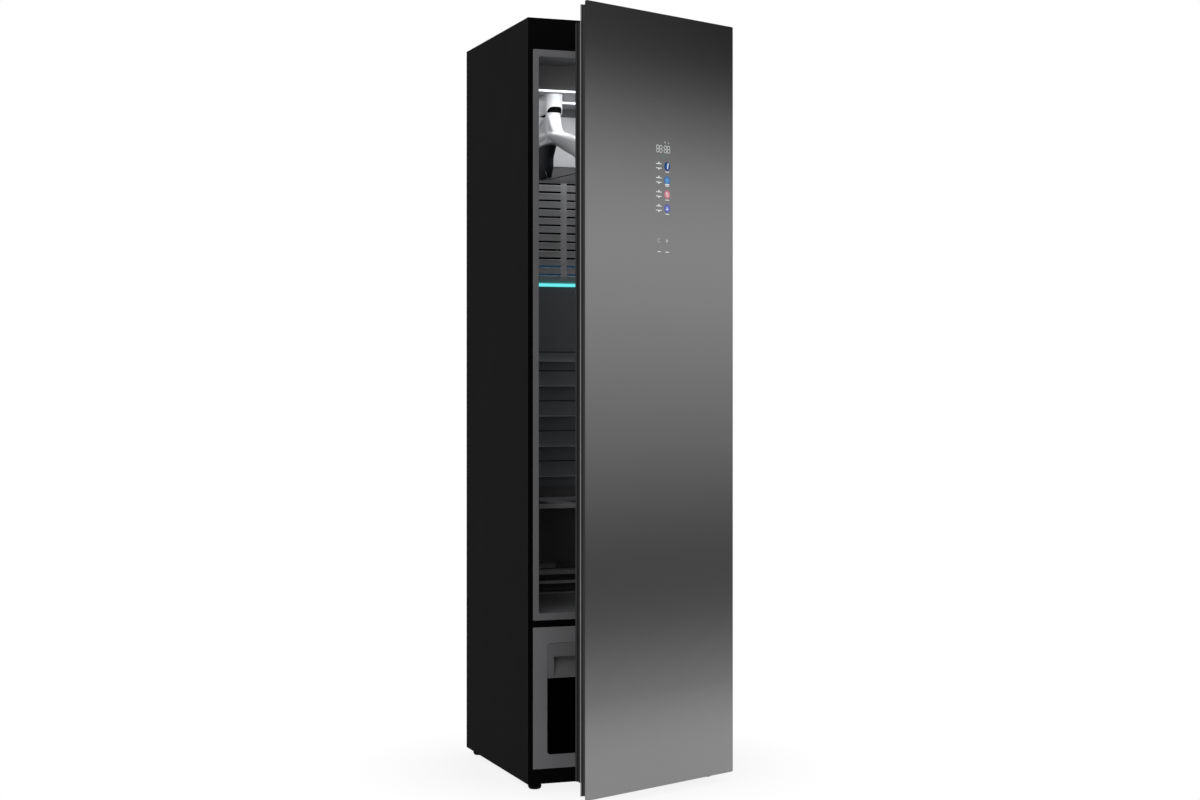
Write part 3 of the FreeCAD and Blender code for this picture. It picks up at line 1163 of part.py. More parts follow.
def refrigerant_pipes():
    """Copper lines between compressor, condenser and evaporator."""
    low = PAN_TOP + COIL_STAND + COIL_HEIGHT + HEADER_PROUD
    half = COIL_WIDTH / 2 + HEADER_GAP
    cx, cy = COMPRESSOR_AT
    top = PAN_TOP + COMPRESSOR_LIFT + COMPRESSOR_HEIGHT
    ex, ey = EVAPORATOR_AT
    kx, ky = CONDENSER_AT
    hot_level, liquid_level = low + HOT_RISE, low + LIQUID_RISE
    hot = [(cx, cy, top), (cx, cy, hot_level), (kx - half, ky, hot_level), (kx - half, ky, low)]
    liquid = [(kx + half, ky, low), (kx + half, ky, liquid_level), (ex + half, ey, liquid_level),
              (ex + half, ey, low)]
    return [pipe(route, PIPE_RADIUS, PIPE_BEND, PIPE_FACETS) for route in (hot, liquid)]


def insulation():
    """Foam round the chamber, with room for the rear duct and the ceiling fan."""
    gap = FOAM_GAP
    side = SIDE - SHEET - gap
    outer = block((-side, side), (BEHIND_PLATE + SHEET + gap, PANEL_REAR - 2 * SHEET),
                  (SILL - 6, HEIGHT - SHEET - gap))
    chamber_half = CHAMBER_SIDE + LINER_WALL + gap
    chamber = block((-chamber_half, chamber_half), (FRONT - 1, LINER_REAR + gap),
                    (LINER_UNDER - gap, LINER_TOP + gap))
    duct = block((-DUCT_HALF_WIDTH - gap, DUCT_HALF_WIDTH + gap), (LINER_REAR - 1, LINER_REAR + DUCT_DEPTH + gap),
                 (DUCT_BOTTOM - gap, CHAMBER_CEILING + gap))
    fx, fy = CEILING_FAN_AT
    pocket = block((fx - FAN_OUTER - 3, fx + FAN_OUTER + 3), (fy - FAN_FRONT - 3, LINER_REAR + DUCT_DEPTH + gap),
                   (CHAMBER_CEILING, LINER_TOP + FAN_TOTAL + 18))
    ox, oy = steam_outlet()
    steam = regular((ox, oy), STEAM_PIPE_RADIUS + 2, TUBE_FACETS, (0, CHAMBER_FLOOR))
    return outer.cut([chamber, duct, pocket, steam])


def mains_inlet():
    """Appliance inlet with three blades in a recess."""
    x, z = INLET_AT
    w, h, d = INLET_SIZE
    body = block((x - w / 2, x + w / 2), (REAR - d, REAR), (z - h / 2, z + h / 2))
    rw, rh = INLET_RECESS
    floor = REAR - d + INLET_FLOOR
    recess = block((x - rw / 2, x + rw / 2), (floor, REAR + 1), (z - rh / 2, z + rh / 2))
    blades = [block((x + bx - 1, x + bx + 1), (floor - 1, REAR - INLET_FLOOR), (z + bz - 3, z + bz + 3))
              for bx, bz in INLET_BLADES]
    lap = INLET_FLANGE
    flange = block((x - w / 2 - lap, x + w / 2 + lap), (PANEL_REAR - INLET_PLATE, PANEL_REAR),
                   (z - h / 2 - lap, z + h / 2 + lap))
    return joined([body.fuse(flange).cut(recess)] + blades)


# ---------------------------------------------------------------- hinges
def pin_hole(z):
    """Running hole for a hinge pin."""
    return rod(HINGE_PIN + RUN_FIT, (PIN_X, PIN_Y, z - 5), (PIN_X, PIN_Y, z + 20))


def cabinet_hinge(z):
    """Cabinet leaf: plate on the front frame, nose and pin."""
    plate = block((PIN_X - HINGE_NOSE - 4, SIDE - 1), (FRONT - HINGE_PLATE, FRONT),
                  (z - HINGE_PLATE_DOWN, z + HINGE_PLATE_UP))
    leaf = block((PIN_X - HINGE_NOSE, PIN_X + HINGE_NOSE), (PIN_Y, FRONT), (z, z + HINGE_LEAF))
    nose = regular((PIN_X, PIN_Y), HINGE_NOSE, HINGE_FACETS, (z, z + HINGE_LEAF))
    pin = rod(HINGE_PIN, (PIN_X, PIN_Y, z), (PIN_X, PIN_Y, z + 2 * HINGE_LEAF + HINGE_PIN_PROUD))
    return joined([plate, leaf, nose, pin])


def door_hinge(z):
    """Door leaf: plate on the back of the door frame and a nose with the pin hole."""
    low = z + HINGE_LEAF + CLEAR
    plate = block((PIN_X - HINGE_PLATE_REACH, PIN_X - HINGE_PLATE_GAP), (FRAME_BACK, FRAME_BACK + HINGE_PLATE),
                  (z - HINGE_PLATE_DOWN, z + HINGE_PLATE_UP))
    leaf = block((PIN_X - HINGE_PLATE_REACH, PIN_X), (FRAME_BACK, PIN_Y), (low, low + HINGE_LEAF))
    nose = regular((PIN_X, PIN_Y), HINGE_NOSE, HINGE_FACETS, (low, low + HINGE_LEAF))
    return joined([plate, leaf, nose]).cut(pin_hole(z))


# ---------------------------------------------------------------- door
def door_glass():
    """Full-size front glass."""
    return rounded((-SIDE, SIDE), (GLASS_FRONT, FRAME_FRONT), (DOOR_BOTTOM, HEIGHT), GLASS_RADIUS, Y_AXIS)


def door_frame():
    """Extruded frame: shadow gap behind the glass, flat side and a thin proud rear edge."""
    def outline(inset):
        return SIDE - inset, DOOR_BOTTOM + inset, HEIGHT - inset

    inner = outline(FRAME_INSET + FRAME_RING)
    levels = ((FRAME_FRONT, FRAME_FRONT + FRAME_SHADOW_DEPTH, FRAME_INSET + FRAME_SHADOW_INSET),
              (FRAME_FRONT + FRAME_SHADOW_DEPTH, FRAME_BACK - FRAME_EDGE, FRAME_INSET + FRAME_STEP),
              (FRAME_BACK - FRAME_EDGE, FRAME_BACK, FRAME_INSET))
    rings = [ring(outline(inset), inner, (low, high)) for low, high, inset in levels]
    return joined(rings)


def door_liner():
    """Inner door skin with a raised rim that carries the gasket."""
    half = SIDE - LINER_INSET
    z = (DOOR_LINER_BOTTOM, DOOR_LINER_TOP)
    y = (FRAME_BACK, DOOR_LINER_BACK)
    shape = block((-half, half), y, z)
    rim = DOOR_LINER_RIM
    recess = rounded((-half + rim, half - rim), (y[0] + DOOR_LINER_SKIN, y[1] + 1), (z[0] + rim, z[1] - rim),
                     DOOR_LINER_RADIUS, Y_AXIS)
    return shape.cut(recess)


def door_gasket():
    """Magnetic gasket: narrow base in the liner's rim and a wide magnet head."""
    half = SIDE - LINER_INSET - GASKET_INSET
    z = (DOOR_LINER_BOTTOM + GASKET_INSET, DOOR_LINER_TOP - GASKET_INSET)
    depth = GASKET_FACE - DOOR_LINER_BACK
    levels = ((0.0, GASKET_BASE_SHARE, GASKET_GROOVE), (GASKET_BASE_SHARE, 1.0, 0.0))
    rings = []
    for low, high, inset in levels:
        outer = (half - inset, z[0] + inset, z[1] - inset)
        reach = GASKET_WIDTH - inset
        inner = (half - reach, z[0] + reach, z[1] - reach)
        span = (DOOR_LINER_BACK + low * depth, DOOR_LINER_BACK + high * depth)
        rings.append(ring(outer, inner, span))
    return joined(rings)


def display_module():
    """Display and touch board behind the glass."""
    x = (-DISPLAY_HALF_WIDTH, DISPLAY_HALF_WIDTH)
    back = FRAME_FRONT + DISPLAY_DEPTH
    board = block(x, (FRAME_FRONT, back), DISPLAY_RANGE)
    half = SIDE - FRAME_INSET - FRAME_RING
    height, thickness = BRACKET
    low = DISPLAY_RANGE[0] + BRACKET_INSET
    high = DISPLAY_RANGE[1] - BRACKET_INSET - height
    brackets = [block((-half, half), (back, back + thickness), (level, level + height)) for level in (low, high)]
    return joined([board] + brackets)


def ajar(shape):
    """The closed-door shape swung to the angle at which the door stands."""
    swung = shape.copy()
    swung.rotate(V(PIN_X, PIN_Y, 0), Z_AXIS, DOOR_AJAR_ANGLE)
    return swung


# ---------------------------------------------------------------- assembly
def build():
    """Model every sub-part and write one file for each."""
    os.makedirs("parts", exist_ok=True)
    save("outer_wrap", outer_wrap())
    save("front_frame", front_frame())
    save("rear_panel", rear_panel())
    save("machine_panel", machine_panel())
    save("service_cover", service_cover())
    save("base_pan", base_pan())
    for name, place in foot_places().items():
        save(f"foot_{name}", foot(place))

    save("insulation", insulation())
    save("chamber_liner", chamber_liner())
    save("back_grille", back_grille())
    save("back_light_strip", back_light_strip())
    save("back_rib_panel", back_rib_panel())
    save("rear_duct", rear_duct())
    save("vent_box", vent_box())
    save("lint_filter", lint_filter())
    save("ceiling_duct", ceiling_duct())
    save("ceiling_lights", *ceiling_lights())
    save("hanger_sockets", *hanger_sockets())
    for name, hx in HANGER_XS.items():
        save(f"hanger_{name}", hanger_shell(hx))
        save(f"hanger_nozzle_{name}", nozzle(hx), trouser_bar(hx))
    save("shelf", shelf())
    save("shelf_runners", *shelf_runners())

    save("tank_fascia", tank_fascia())
    save("tank_bay", tank_bay())
    save("drain_tank", tank_body())
    save("drain_tank_front", tank_front())
    save("water_tank", mirrored(tank_body()))
    save("water_tank_front", mirrored(tank_front()))

    save("compressor", compressor())
    save("evaporator", coil(EVAPORATOR_AT))
    save("condenser", coil(CONDENSER_AT))
    fans = {"base_fan": fan(BASE_FAN_AT, BASE_FAN_LEVEL - PAN_TOP),
            "ceiling_fan": fan((*CEILING_FAN_AT, LINER_TOP), 0)}
    for name, (casing, wheel) in fans.items():
        save(f"{name}_casing", casing)
        save(f"{name}_wheel", wheel)
    save("steam_generator", steam_generator())
    save("steam_pipe", steam_pipe())
    save("pumps", *pumps())
    save("control_box", control_box())
    save("refrigerant_pipes", *refrigerant_pipes())
    save("mains_inlet", mains_inlet())

    save("cabinet_hinges", *[cabinet_hinge(z) for z in HINGE_LEVELS])
    save("door_hinges", *[ajar(door_hinge(z)) for z in HINGE_LEVELS])
    save("door_glass", ajar(door_glass()))
    save("door_frame", ajar(door_frame()))
    save("door_liner", ajar(door_liner()))
    save("door_gasket", ajar(door_gasket()))
    save("display_module", ajar(display_module()))


build()
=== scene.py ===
"""Clothes care steam cabinet: dressed surfaces, finishes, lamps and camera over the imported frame.

The frame has +X right and +Z up as the user faces the cabinet, -Y towards the user, and its origin on
the floor in the middle of the body. It is in metres; shapes are worked out in millimetres and scaled by MM.
"""

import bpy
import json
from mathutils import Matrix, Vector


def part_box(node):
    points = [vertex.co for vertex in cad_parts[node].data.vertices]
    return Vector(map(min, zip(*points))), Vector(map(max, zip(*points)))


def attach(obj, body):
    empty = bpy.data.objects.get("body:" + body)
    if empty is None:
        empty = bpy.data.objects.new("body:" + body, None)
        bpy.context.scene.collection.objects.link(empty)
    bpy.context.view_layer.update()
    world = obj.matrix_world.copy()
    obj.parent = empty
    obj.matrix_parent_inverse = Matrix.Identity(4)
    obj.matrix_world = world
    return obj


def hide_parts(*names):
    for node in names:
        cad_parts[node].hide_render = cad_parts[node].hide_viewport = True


bl_info = {
    "name": "Steam Cabinet Dressing",
    "version": (1, 0, 0),
    "blender": (4, 5, 0),
    "location": "3D Viewport > Sidebar > Cabinet",
    "description": "Builds the surfaces, finishes and stage of a clothes care steam cabinet",
    "category": "Object",
}

import json
import math

import bmesh
import bpy
import numpy as np
from bpy.props import FloatProperty, FloatVectorProperty, PointerProperty
from bpy.types import Operator, Panel, PropertyGroup

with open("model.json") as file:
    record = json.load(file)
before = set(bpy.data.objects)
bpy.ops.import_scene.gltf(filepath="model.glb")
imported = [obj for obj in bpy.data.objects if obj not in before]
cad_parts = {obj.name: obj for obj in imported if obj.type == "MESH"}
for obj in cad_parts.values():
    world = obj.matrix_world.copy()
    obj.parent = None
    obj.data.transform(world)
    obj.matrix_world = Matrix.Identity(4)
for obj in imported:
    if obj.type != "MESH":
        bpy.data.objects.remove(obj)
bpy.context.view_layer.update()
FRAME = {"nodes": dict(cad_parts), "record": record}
NODES = FRAME["nodes"]
BODY_OF = {node: body for body, members in FRAME["record"]["behaviour"]["bodies"].items() for node in members}
SLOT_OF = {entry["node"]: entry["material_slot"] for entry in FRAME["record"]["subparts"]}

MM = 0.001
DOOR_PIN = np.array([239.0, -278.0]) * MM
DOOR_ANGLE = math.radians(24.4)
GLASS_FRONT = -316.0 * MM
# outer face of the rear sheets, in millimetres
REAR_FACE = 264.0
NECK_Y = -30.0 * MM
HANGERS = {"left": -108.0 * MM, "centre": 0.0, "right": 108.0 * MM}


# ---------------------------------------------------------------- colours and nodes
def linear(code):
    """Linear RGBA of an sRGB hex colour."""
    parts = [int(code[i:i + 2], 16) / 255 for i in (1, 3, 5)]
    return tuple(c / 12.92 if c <= 0.04045 else ((c + 0.055) / 1.055) ** 2.4 for c in parts) + (1.0,)


def add(tree, kind, settings=None, links=None):
    """New node in a tree; settings fill its sockets or attributes, links join its sockets to outputs.

    A node among the links stands for its first output.
    """
    node = tree.nodes.new(kind)
    for key, value in (settings or {}).items():
        if isinstance(key, str) and hasattr(node, key):
            setattr(node, key, value)
        else:
            node.inputs[key].default_value = value
    for key, source in (links or {}).items():
        output = source.outputs[0] if isinstance(source, bpy.types.Node) else source
        tree.links.new(output, node.inputs[key])
    return node


def blank(name):
    """Empty node material: the material, its tree, its output node and its Object coordinates."""
    material = bpy.data.materials.new(name)
    material.use_nodes = True
    tree = material.node_tree
    tree.nodes.clear()
    place = add(tree, "ShaderNodeTexCoord").outputs["Object"]
    return material, tree, add(tree, "ShaderNodeOutputMaterial"), place


def surface(tree, out, base, tone, shine, relief, settings):
    """Ends an opaque finish: its colour is base times tone, its roughness the shine, its bump the relief."""
    colour = add(tree, "ShaderNodeMixRGB", {"blend_type": "MULTIPLY", "Fac": 1.0, "Color1": base},
                 {"Color2": tone})
    shader = add(tree, "ShaderNodeBsdfPrincipled", settings,
                 {"Base Color": colour, "Roughness": shine, "Normal": relief})
    tree.links.new(shader.outputs["BSDF"], out.inputs["Surface"])


def grained(name, code, roughness, specular, grain, depth, metallic=0.0, mottle=0.06, coat=0.0):
    """Opaque finish with a fine relief, of a grain and a depth in millimetres, and a slightly uneven tone.

    Noise of one grain per cell drives bump and roughness; a second, broad noise shifts the tone.
    The colour is a hex code or a linear colour of the settings.
    """
    material, tree, out, place = blank(name)
    fine = add(tree, "ShaderNodeTexNoise", {"Scale": 1.0 / (grain * MM), "Detail": 3.0, "Roughness": 0.6},
               {"Vector": place})
    broad = add(tree, "ShaderNodeTexNoise", {"Scale": 9.0, "Detail": 4.0, "Roughness": 0.55},
                {"Vector": place})
    tone = add(tree, "ShaderNodeMapRange", {"From Min": 0.3, "From Max": 0.7, "To Min": 1.0 - mottle,
                                            "To Max": 1.0 + mottle}, {"Value": broad})
    shine = add(tree, "ShaderNodeMapRange", {"From Min": 0.3, "From Max": 0.7, "To Min": roughness * 0.9,
                                             "To Max": min(1.0, roughness * 1.1)}, {"Value": fine})
    relief = add(tree, "ShaderNodeBump", {"Strength": 0.6, "Distance": depth * MM}, {"Height": fine})
    base = linear(code) if isinstance(code, str) else tuple(code)
    surface(tree, out, base, tone, shine, relief,
            {"Metallic": metallic, "Specular IOR Level": specular, "Coat Weight": coat})
    return material


def spangled(name, code, roughness, crystal):
    """Hot-dipped zinc: crystals of the given size in metres differ a little in tone and polish.

    A Voronoi cell's grey sets tone and roughness, and the distance to its middle drives the bump. Noise
    first bends the cells' borders by up to half a crystal.
    """
    material, tree, out, place = blank(name)
    bent = add(tree, "ShaderNodeTexNoise", {"Scale": 0.6 / crystal, "Detail": 2.0}, {"Vector": place})
    moved = add(tree, "ShaderNodeMixRGB", {"blend_type": "ADD", "Fac": 0.5 * crystal},
                {"Color1": place, "Color2": bent.outputs["Color"]})
    cells = add(tree, "ShaderNodeTexVoronoi", {"Scale": 1.0 / crystal}, {"Vector": moved})
    grey = cells.outputs["Color"]
    tone = add(tree, "ShaderNodeMapRange", {"To Min": 0.86, "To Max": 1.12}, {"Value": grey})
    shine = add(tree, "ShaderNodeMapRange", {"To Min": roughness * 0.85, "To Max": roughness * 1.15},
                {"Value": grey})
    relief = add(tree, "ShaderNodeBump", {"Strength": 0.3, "Distance": 0.01 * MM},
                 {"Height": cells.outputs["Distance"]})
    surface(tree, out, linear(code), tone, shine, relief, {"Metallic": 0.85})
    return material


def glowing(name, code, strength):
    """Lit diffuser: even light that a noise of 25 mm shifts by up to 6 %."""
    material, tree, out, place = blank(name)
    cells = add(tree, "ShaderNodeTexNoise", {"Scale": 40.0, "Detail": 1.0}, {"Vector": place})
    level = add(tree, "ShaderNodeMapRange", {"To Min": strength * 0.94, "To Max": strength * 1.06},
                {"Value": cells})
    glow = add(tree, "ShaderNodeEmission", {"Color": linear(code)}, {"Strength": level})
    tree.links.new(glow.outputs["Emission"], out.inputs["Surface"])
    return material


# ---------------------------------------------------------------- meshes
def put(name, mesh, material, body, replaces=(), smooth=True):
    """Object of a mesh that rides on a body, takes a finish and may stand for CAD nodes."""
    piece = bpy.data.objects.new(name, mesh)
    bpy.context.scene.collection.objects.link(piece)
    mesh.materials.clear()
    for finish in material if isinstance(material, (list, tuple)) else [material]:
        mesh.materials.append(finish)
    mesh.polygons.foreach_set("use_smooth", np.full(len(mesh.polygons), smooth))
    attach(piece, body)
    if replaces:
        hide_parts(*replaces)
    return piece


def grid(points, close_columns=True):
    """Vertices and quads of a grid of points: rows follow the path, columns go round the profile."""
    rows, columns = points.shape[:2]
    index = np.arange(rows * columns).reshape(rows, columns)
    if close_columns:
        index = np.hstack([index, index[:, :1]])
    quads = np.stack([index[:-1, :-1], index[:-1, 1:], index[1:, 1:], index[1:, :-1]], axis=-1)
    return points.reshape(-1, 3), quads.reshape(-1, 4)


def capped(rows):
    """Rows of closed sections joined along the path, with a flat cap at both ends."""
    cap = np.arange(rows.shape[1])[None]
    return [grid(rows), (rows[0], cap), (rows[-1], cap[:, ::-1])]


def full_turn(sides):
    """Angles of the corners of a polygon that stands for a circle."""
    return np.linspace(0, 2 * np.pi, sides, endpoint=False)


def mesh_of(name, *parts):
    """One mesh from (vertices, faces) parts; faces are index arrays of one length per part."""
    mesh = bpy.data.meshes.new(name)
    vertices, faces, start = [], [], 0
    for points, polygons in parts:
        vertices.append(np.asarray(points, float))
        faces += (np.asarray(polygons) + start).tolist()
        start += len(points)
    mesh.from_pydata(np.vstack(vertices).tolist(), [], faces)
    mesh.validate()
    return mesh


def outwards(mesh, fill=False):
    """Merges doubled points, closes open rims if asked, and turns every face outwards."""
    work = bmesh.new()
    work.from_mesh(mesh)
    bmesh.ops.remove_doubles(work, verts=work.verts, dist=1e-6)
    if fill:
        bmesh.ops.holes_fill(work, edges=work.edges, sides=0)
    bmesh.ops.recalc_face_normals(work, faces=work.faces)
    work.to_mesh(mesh)
    work.free()
    return mesh


def turned(profile, centre, sides, swell=None):
    """Turned form: a (radius, height) profile in millimetres carried round a vertical axis.

    The point at angle a is centre + radius * (cos a, sin a) at its height; swell(a) scales the radius.
    """
    profile = np.asarray(profile, float) * MM
    angle = full_turn(sides)
    scale = swell(angle) if swell else np.ones(sides)
    radius = profile[:, :1] * scale
    points = np.stack([centre[0] + radius * np.cos(angle), centre[1] + radius * np.sin(angle),
                       np.repeat(profile[:, 1:], sides, axis=1)], axis=-1)
    return grid(points)


def tube(path, radius, sides=14):
    """Round tube: a circle carried along a path, square to it at each point.

    The frame at each point is the run's direction, its level normal (run x up) and their cross product.
    """
    path = np.asarray(path, float)
    run = np.gradient(path, axis=0)
    run /= np.linalg.norm(run, axis=1, keepdims=True)
    side = np.cross(run, [0.0, 1e-3, 1.0])
    side /= np.linalg.norm(side, axis=1, keepdims=True)
    up = np.cross(side, run)
    angle = full_turn(sides)
    circle = side[:, None] * np.cos(angle)[:, None] + up[:, None] * np.sin(angle)[:, None]
    return capped(path[:, None] + circle * radius)


def swept(outline, ends):
    """Closed (y, z) outline in millimetres carried along X between two ends, with flat caps."""
    outline = np.asarray(outline, float)
    return capped(np.stack([np.column_stack([np.full(len(outline), x), outline]) for x in ends]) * MM)


def screw(x, z, radius):
    """Pan-head screw on a rear sheet: a quarter ellipse, 1.8 mm high, turned about Y."""
    sides = 12
    rise = np.linspace(0, np.pi / 2, 5)
    profile = np.stack([radius * np.cos(rise), 1.8 * np.sin(rise)], axis=-1)
    angle = full_turn(sides)
    rows = np.stack([x + profile[:, :1] * np.cos(angle), np.repeat(REAR_FACE + profile[:, 1:], sides, axis=1),
                     z + profile[:, :1] * np.sin(angle)], axis=-1) * MM
    return [grid(rows), (rows[0], np.arange(sides)[None])]


def rounded_path(corners, bend, steps=8):
    """Path through corners with each inner corner rounded by a quadratic arc of the given reach."""
    corners = np.asarray(corners, float)
    path = [corners[:1]]
    share = np.linspace(0, 1, steps)[:, None]
    for before, corner, after in zip(corners, corners[1:], corners[2:]):
        start, end = (corner + (other - corner) / np.linalg.norm(other - corner) * bend
                      for other in (before, after))
        path.append((1 - share) ** 2 * start + 2 * share * (1 - share) * corner + share ** 2 * end)
    path.append(corners[-1:])
    return np.vstack(path)


def ajar(points):
    """Closed-door places turned about the hinge pin to where the door stands."""
    points = np.array(points, float)
    shifted = points[..., :2] - DOOR_PIN
    cos, sin = math.cos(DOOR_ANGLE), math.sin(DOOR_ANGLE)
    points[..., 0] = DOOR_PIN[0] + shifted[..., 0] * cos - shifted[..., 1] * sin
    points[..., 1] = DOOR_PIN[1] + shifted[..., 0] * sin + shifted[..., 1] * cos
    return points


def softened(node, width, material, segments=2):
    """Merged copy of a CAD node with sharp edges rounded over a width in millimetres; replaces the node."""
    mesh = NODES[node].data.copy()
    work = bmesh.new()
    work.from_mesh(mesh)
    bmesh.ops.remove_doubles(work, verts=work.verts, dist=2e-6)
    bmesh.ops.dissolve_limit(work, angle_limit=math.radians(0.5), verts=work.verts, edges=work.edges)
    work.to_mesh(mesh)
    work.free()
    piece = put(node + "_dressed", mesh, material, BODY_OF[node], [node])
    bevel = piece.modifiers.new("soft edges", "BEVEL")
    bevel.width = width * MM
    bevel.segments = segments
    bevel.limit_method = "ANGLE"
    bevel.angle_limit = math.radians(32)
    level = piece.modifiers.new("level faces", "WEIGHTED_NORMAL")
    level.weight = 100
    level.keep_sharp = True


def walled(piece, thickness):
    """Gives an open surface a wall of the given thickness in millimetres on its inner side."""
    wall = piece.modifiers.new("wall", "SOLIDIFY")
    wall.thickness = thickness * MM
    wall.offset = -1.0
    return wall


def painted(material, *nodes):
    """Gives CAD nodes their finish."""
    for node in nodes:
        slots = NODES[node].data.materials
        slots.clear()
        slots.append(material)


# ---------------------------------------------------------------- settings
class CabinetFinishes(PropertyGroup):
    """Colours of the cabinet's main finishes."""
    coat: FloatVectorProperty(name="Powder coat", description="Colour of the steel wrap", subtype="COLOR",
                              size=4, default=linear("#1d1d1e"))
    chamber: FloatVectorProperty(name="Chamber", description="Colour of the moulded chamber", subtype="COLOR",
                                 size=4, default=linear("#727274"))
    hanger: FloatVectorProperty(name="Hangers", description="Colour of the white mouldings", subtype="COLOR",
                                size=4, default=linear("#e2e3e5"))
    glow: FloatProperty(name="Lamp strength", description="Strength of the white lamp bars", default=2.4,
                        min=0.0)
    line_glow: FloatProperty(name="Cyan strip strength", description="Strength of the strip on the rear wall",
                             default=1.0, min=0.0)


class HangerShape(PropertyGroup):
    """Sizes of the air hangers."""
    reach: FloatProperty(name="Arm length", description="Neck axis to the tip of the front arm",
                         default=206 * MM, unit="LENGTH")
    voxel: FloatProperty(name="Blend grain", description="Cell size of the moulded blend of neck and arms",
                         default=1.3 * MM, unit="LENGTH")
    bar: FloatProperty(name="Trouser bar radius", description="Radius of the wire bar", default=1.5 * MM,
                       unit="LENGTH")


class DisplayShape(PropertyGroup):
    """Sizes of the marks that shine through the glass."""
    digit_height: FloatProperty(name="Digit height", description="Height of the clock's digits",
                                default=16.2 * MM, unit="LENGTH")
    stroke: FloatProperty(name="Segment width", description="Width of a digit's segments", default=1.15 * MM,
                          unit="LENGTH")
    brightness: FloatProperty(name="Brightness", description="Strength of the display marks", default=0.9,
                              min=0.0)


class StageSettings(PropertyGroup):
    """Camera and light."""
    lens: FloatProperty(name="Lens", description="Focal length in millimetres", default=59.55, min=1.0)
    lamp_power: FloatProperty(name="Lamp power", description="Mean power of the chamber lamps in watts",
                              default=0.37, min=0.0)
    daylight: FloatProperty(name="Daylight", description="Strength of the world's even light", default=0.62,
                            min=0.0)


# ---------------------------------------------------------------- pieces
class CABINET_OT_shell(Operator):
    """Steel wrap, front plate, rear panel, cover, base pan and inlet"""
    bl_idname = "cabinet.shell"
    bl_label = "Cabinet shell"

    # each zinc-coated sheet and the width of its soft edges
    SHEETS = {"rear_panel": 0.3, "machine_panel": 0.3, "service_cover": 0.3, "base_pan": 0.4}
    # (x, z, head radius) of the screws in the rear sheets and in the service cover
    SCREWS = [(x, z, 3.6) for x in (-240.5, 240.5)
              for z in (48.0, 200.0, 352.0, 440.0, 760.0, 1080.0, 1400.0, 1720.0)]
    SCREWS += [(x, 1839.0, 3.6) for x in (-150.0, 0.0, 150.0)]
    SCREWS += [(x, z, 3.2) for x in (-154.0, 154.0) for z in (66.0, 220.0, 374.0)]

    def execute(self, context):
        look = context.scene.cabinet_finishes
        # epoxy powder coat on steel: deep grey, dull, with a faint orange-peel of about 1.2 mm
        coat = grained("powder_coat", look.coat, 0.7, 0.004, 1.2, 0.012, mottle=0.05)
        softened("outer_wrap", 1.0, coat, 3)
        # stove-enamelled steel front: nearly black, smooth and dull
        black = grained("front_enamel", "#070708", 0.5, 0.015, 0.9, 0.006)
        softened("front_frame", 0.5, black)
        # hot-dip galvanised sheet: mid grey metal with a spangle of crystals about 12 mm across
        zinc = spangled("galvanised_sheet", "#8c8f91", 0.45, 12.0 * MM)
        for node, width in self.SHEETS.items():
            softened(node, width, zinc)
        # glass-filled nylon, moulded black with a dry grain
        softened("mains_inlet", 0.4, grained("inlet_nylon", "#141414", 0.55, 0.3, 0.5, 0.01))
        # zinc-plated pan-head screws: small bright points
        plated = grained("screw_zinc", "#a6a8aa", 0.35, 0.5, 1.0, 0.002, metallic=1.0, mottle=0.05)
        heads = [part for place in self.SCREWS for part in screw(*place)]
        put("rear_screws", mesh_of("rear_screws", *heads), plated, "cabinet")
        return {"FINISHED"}


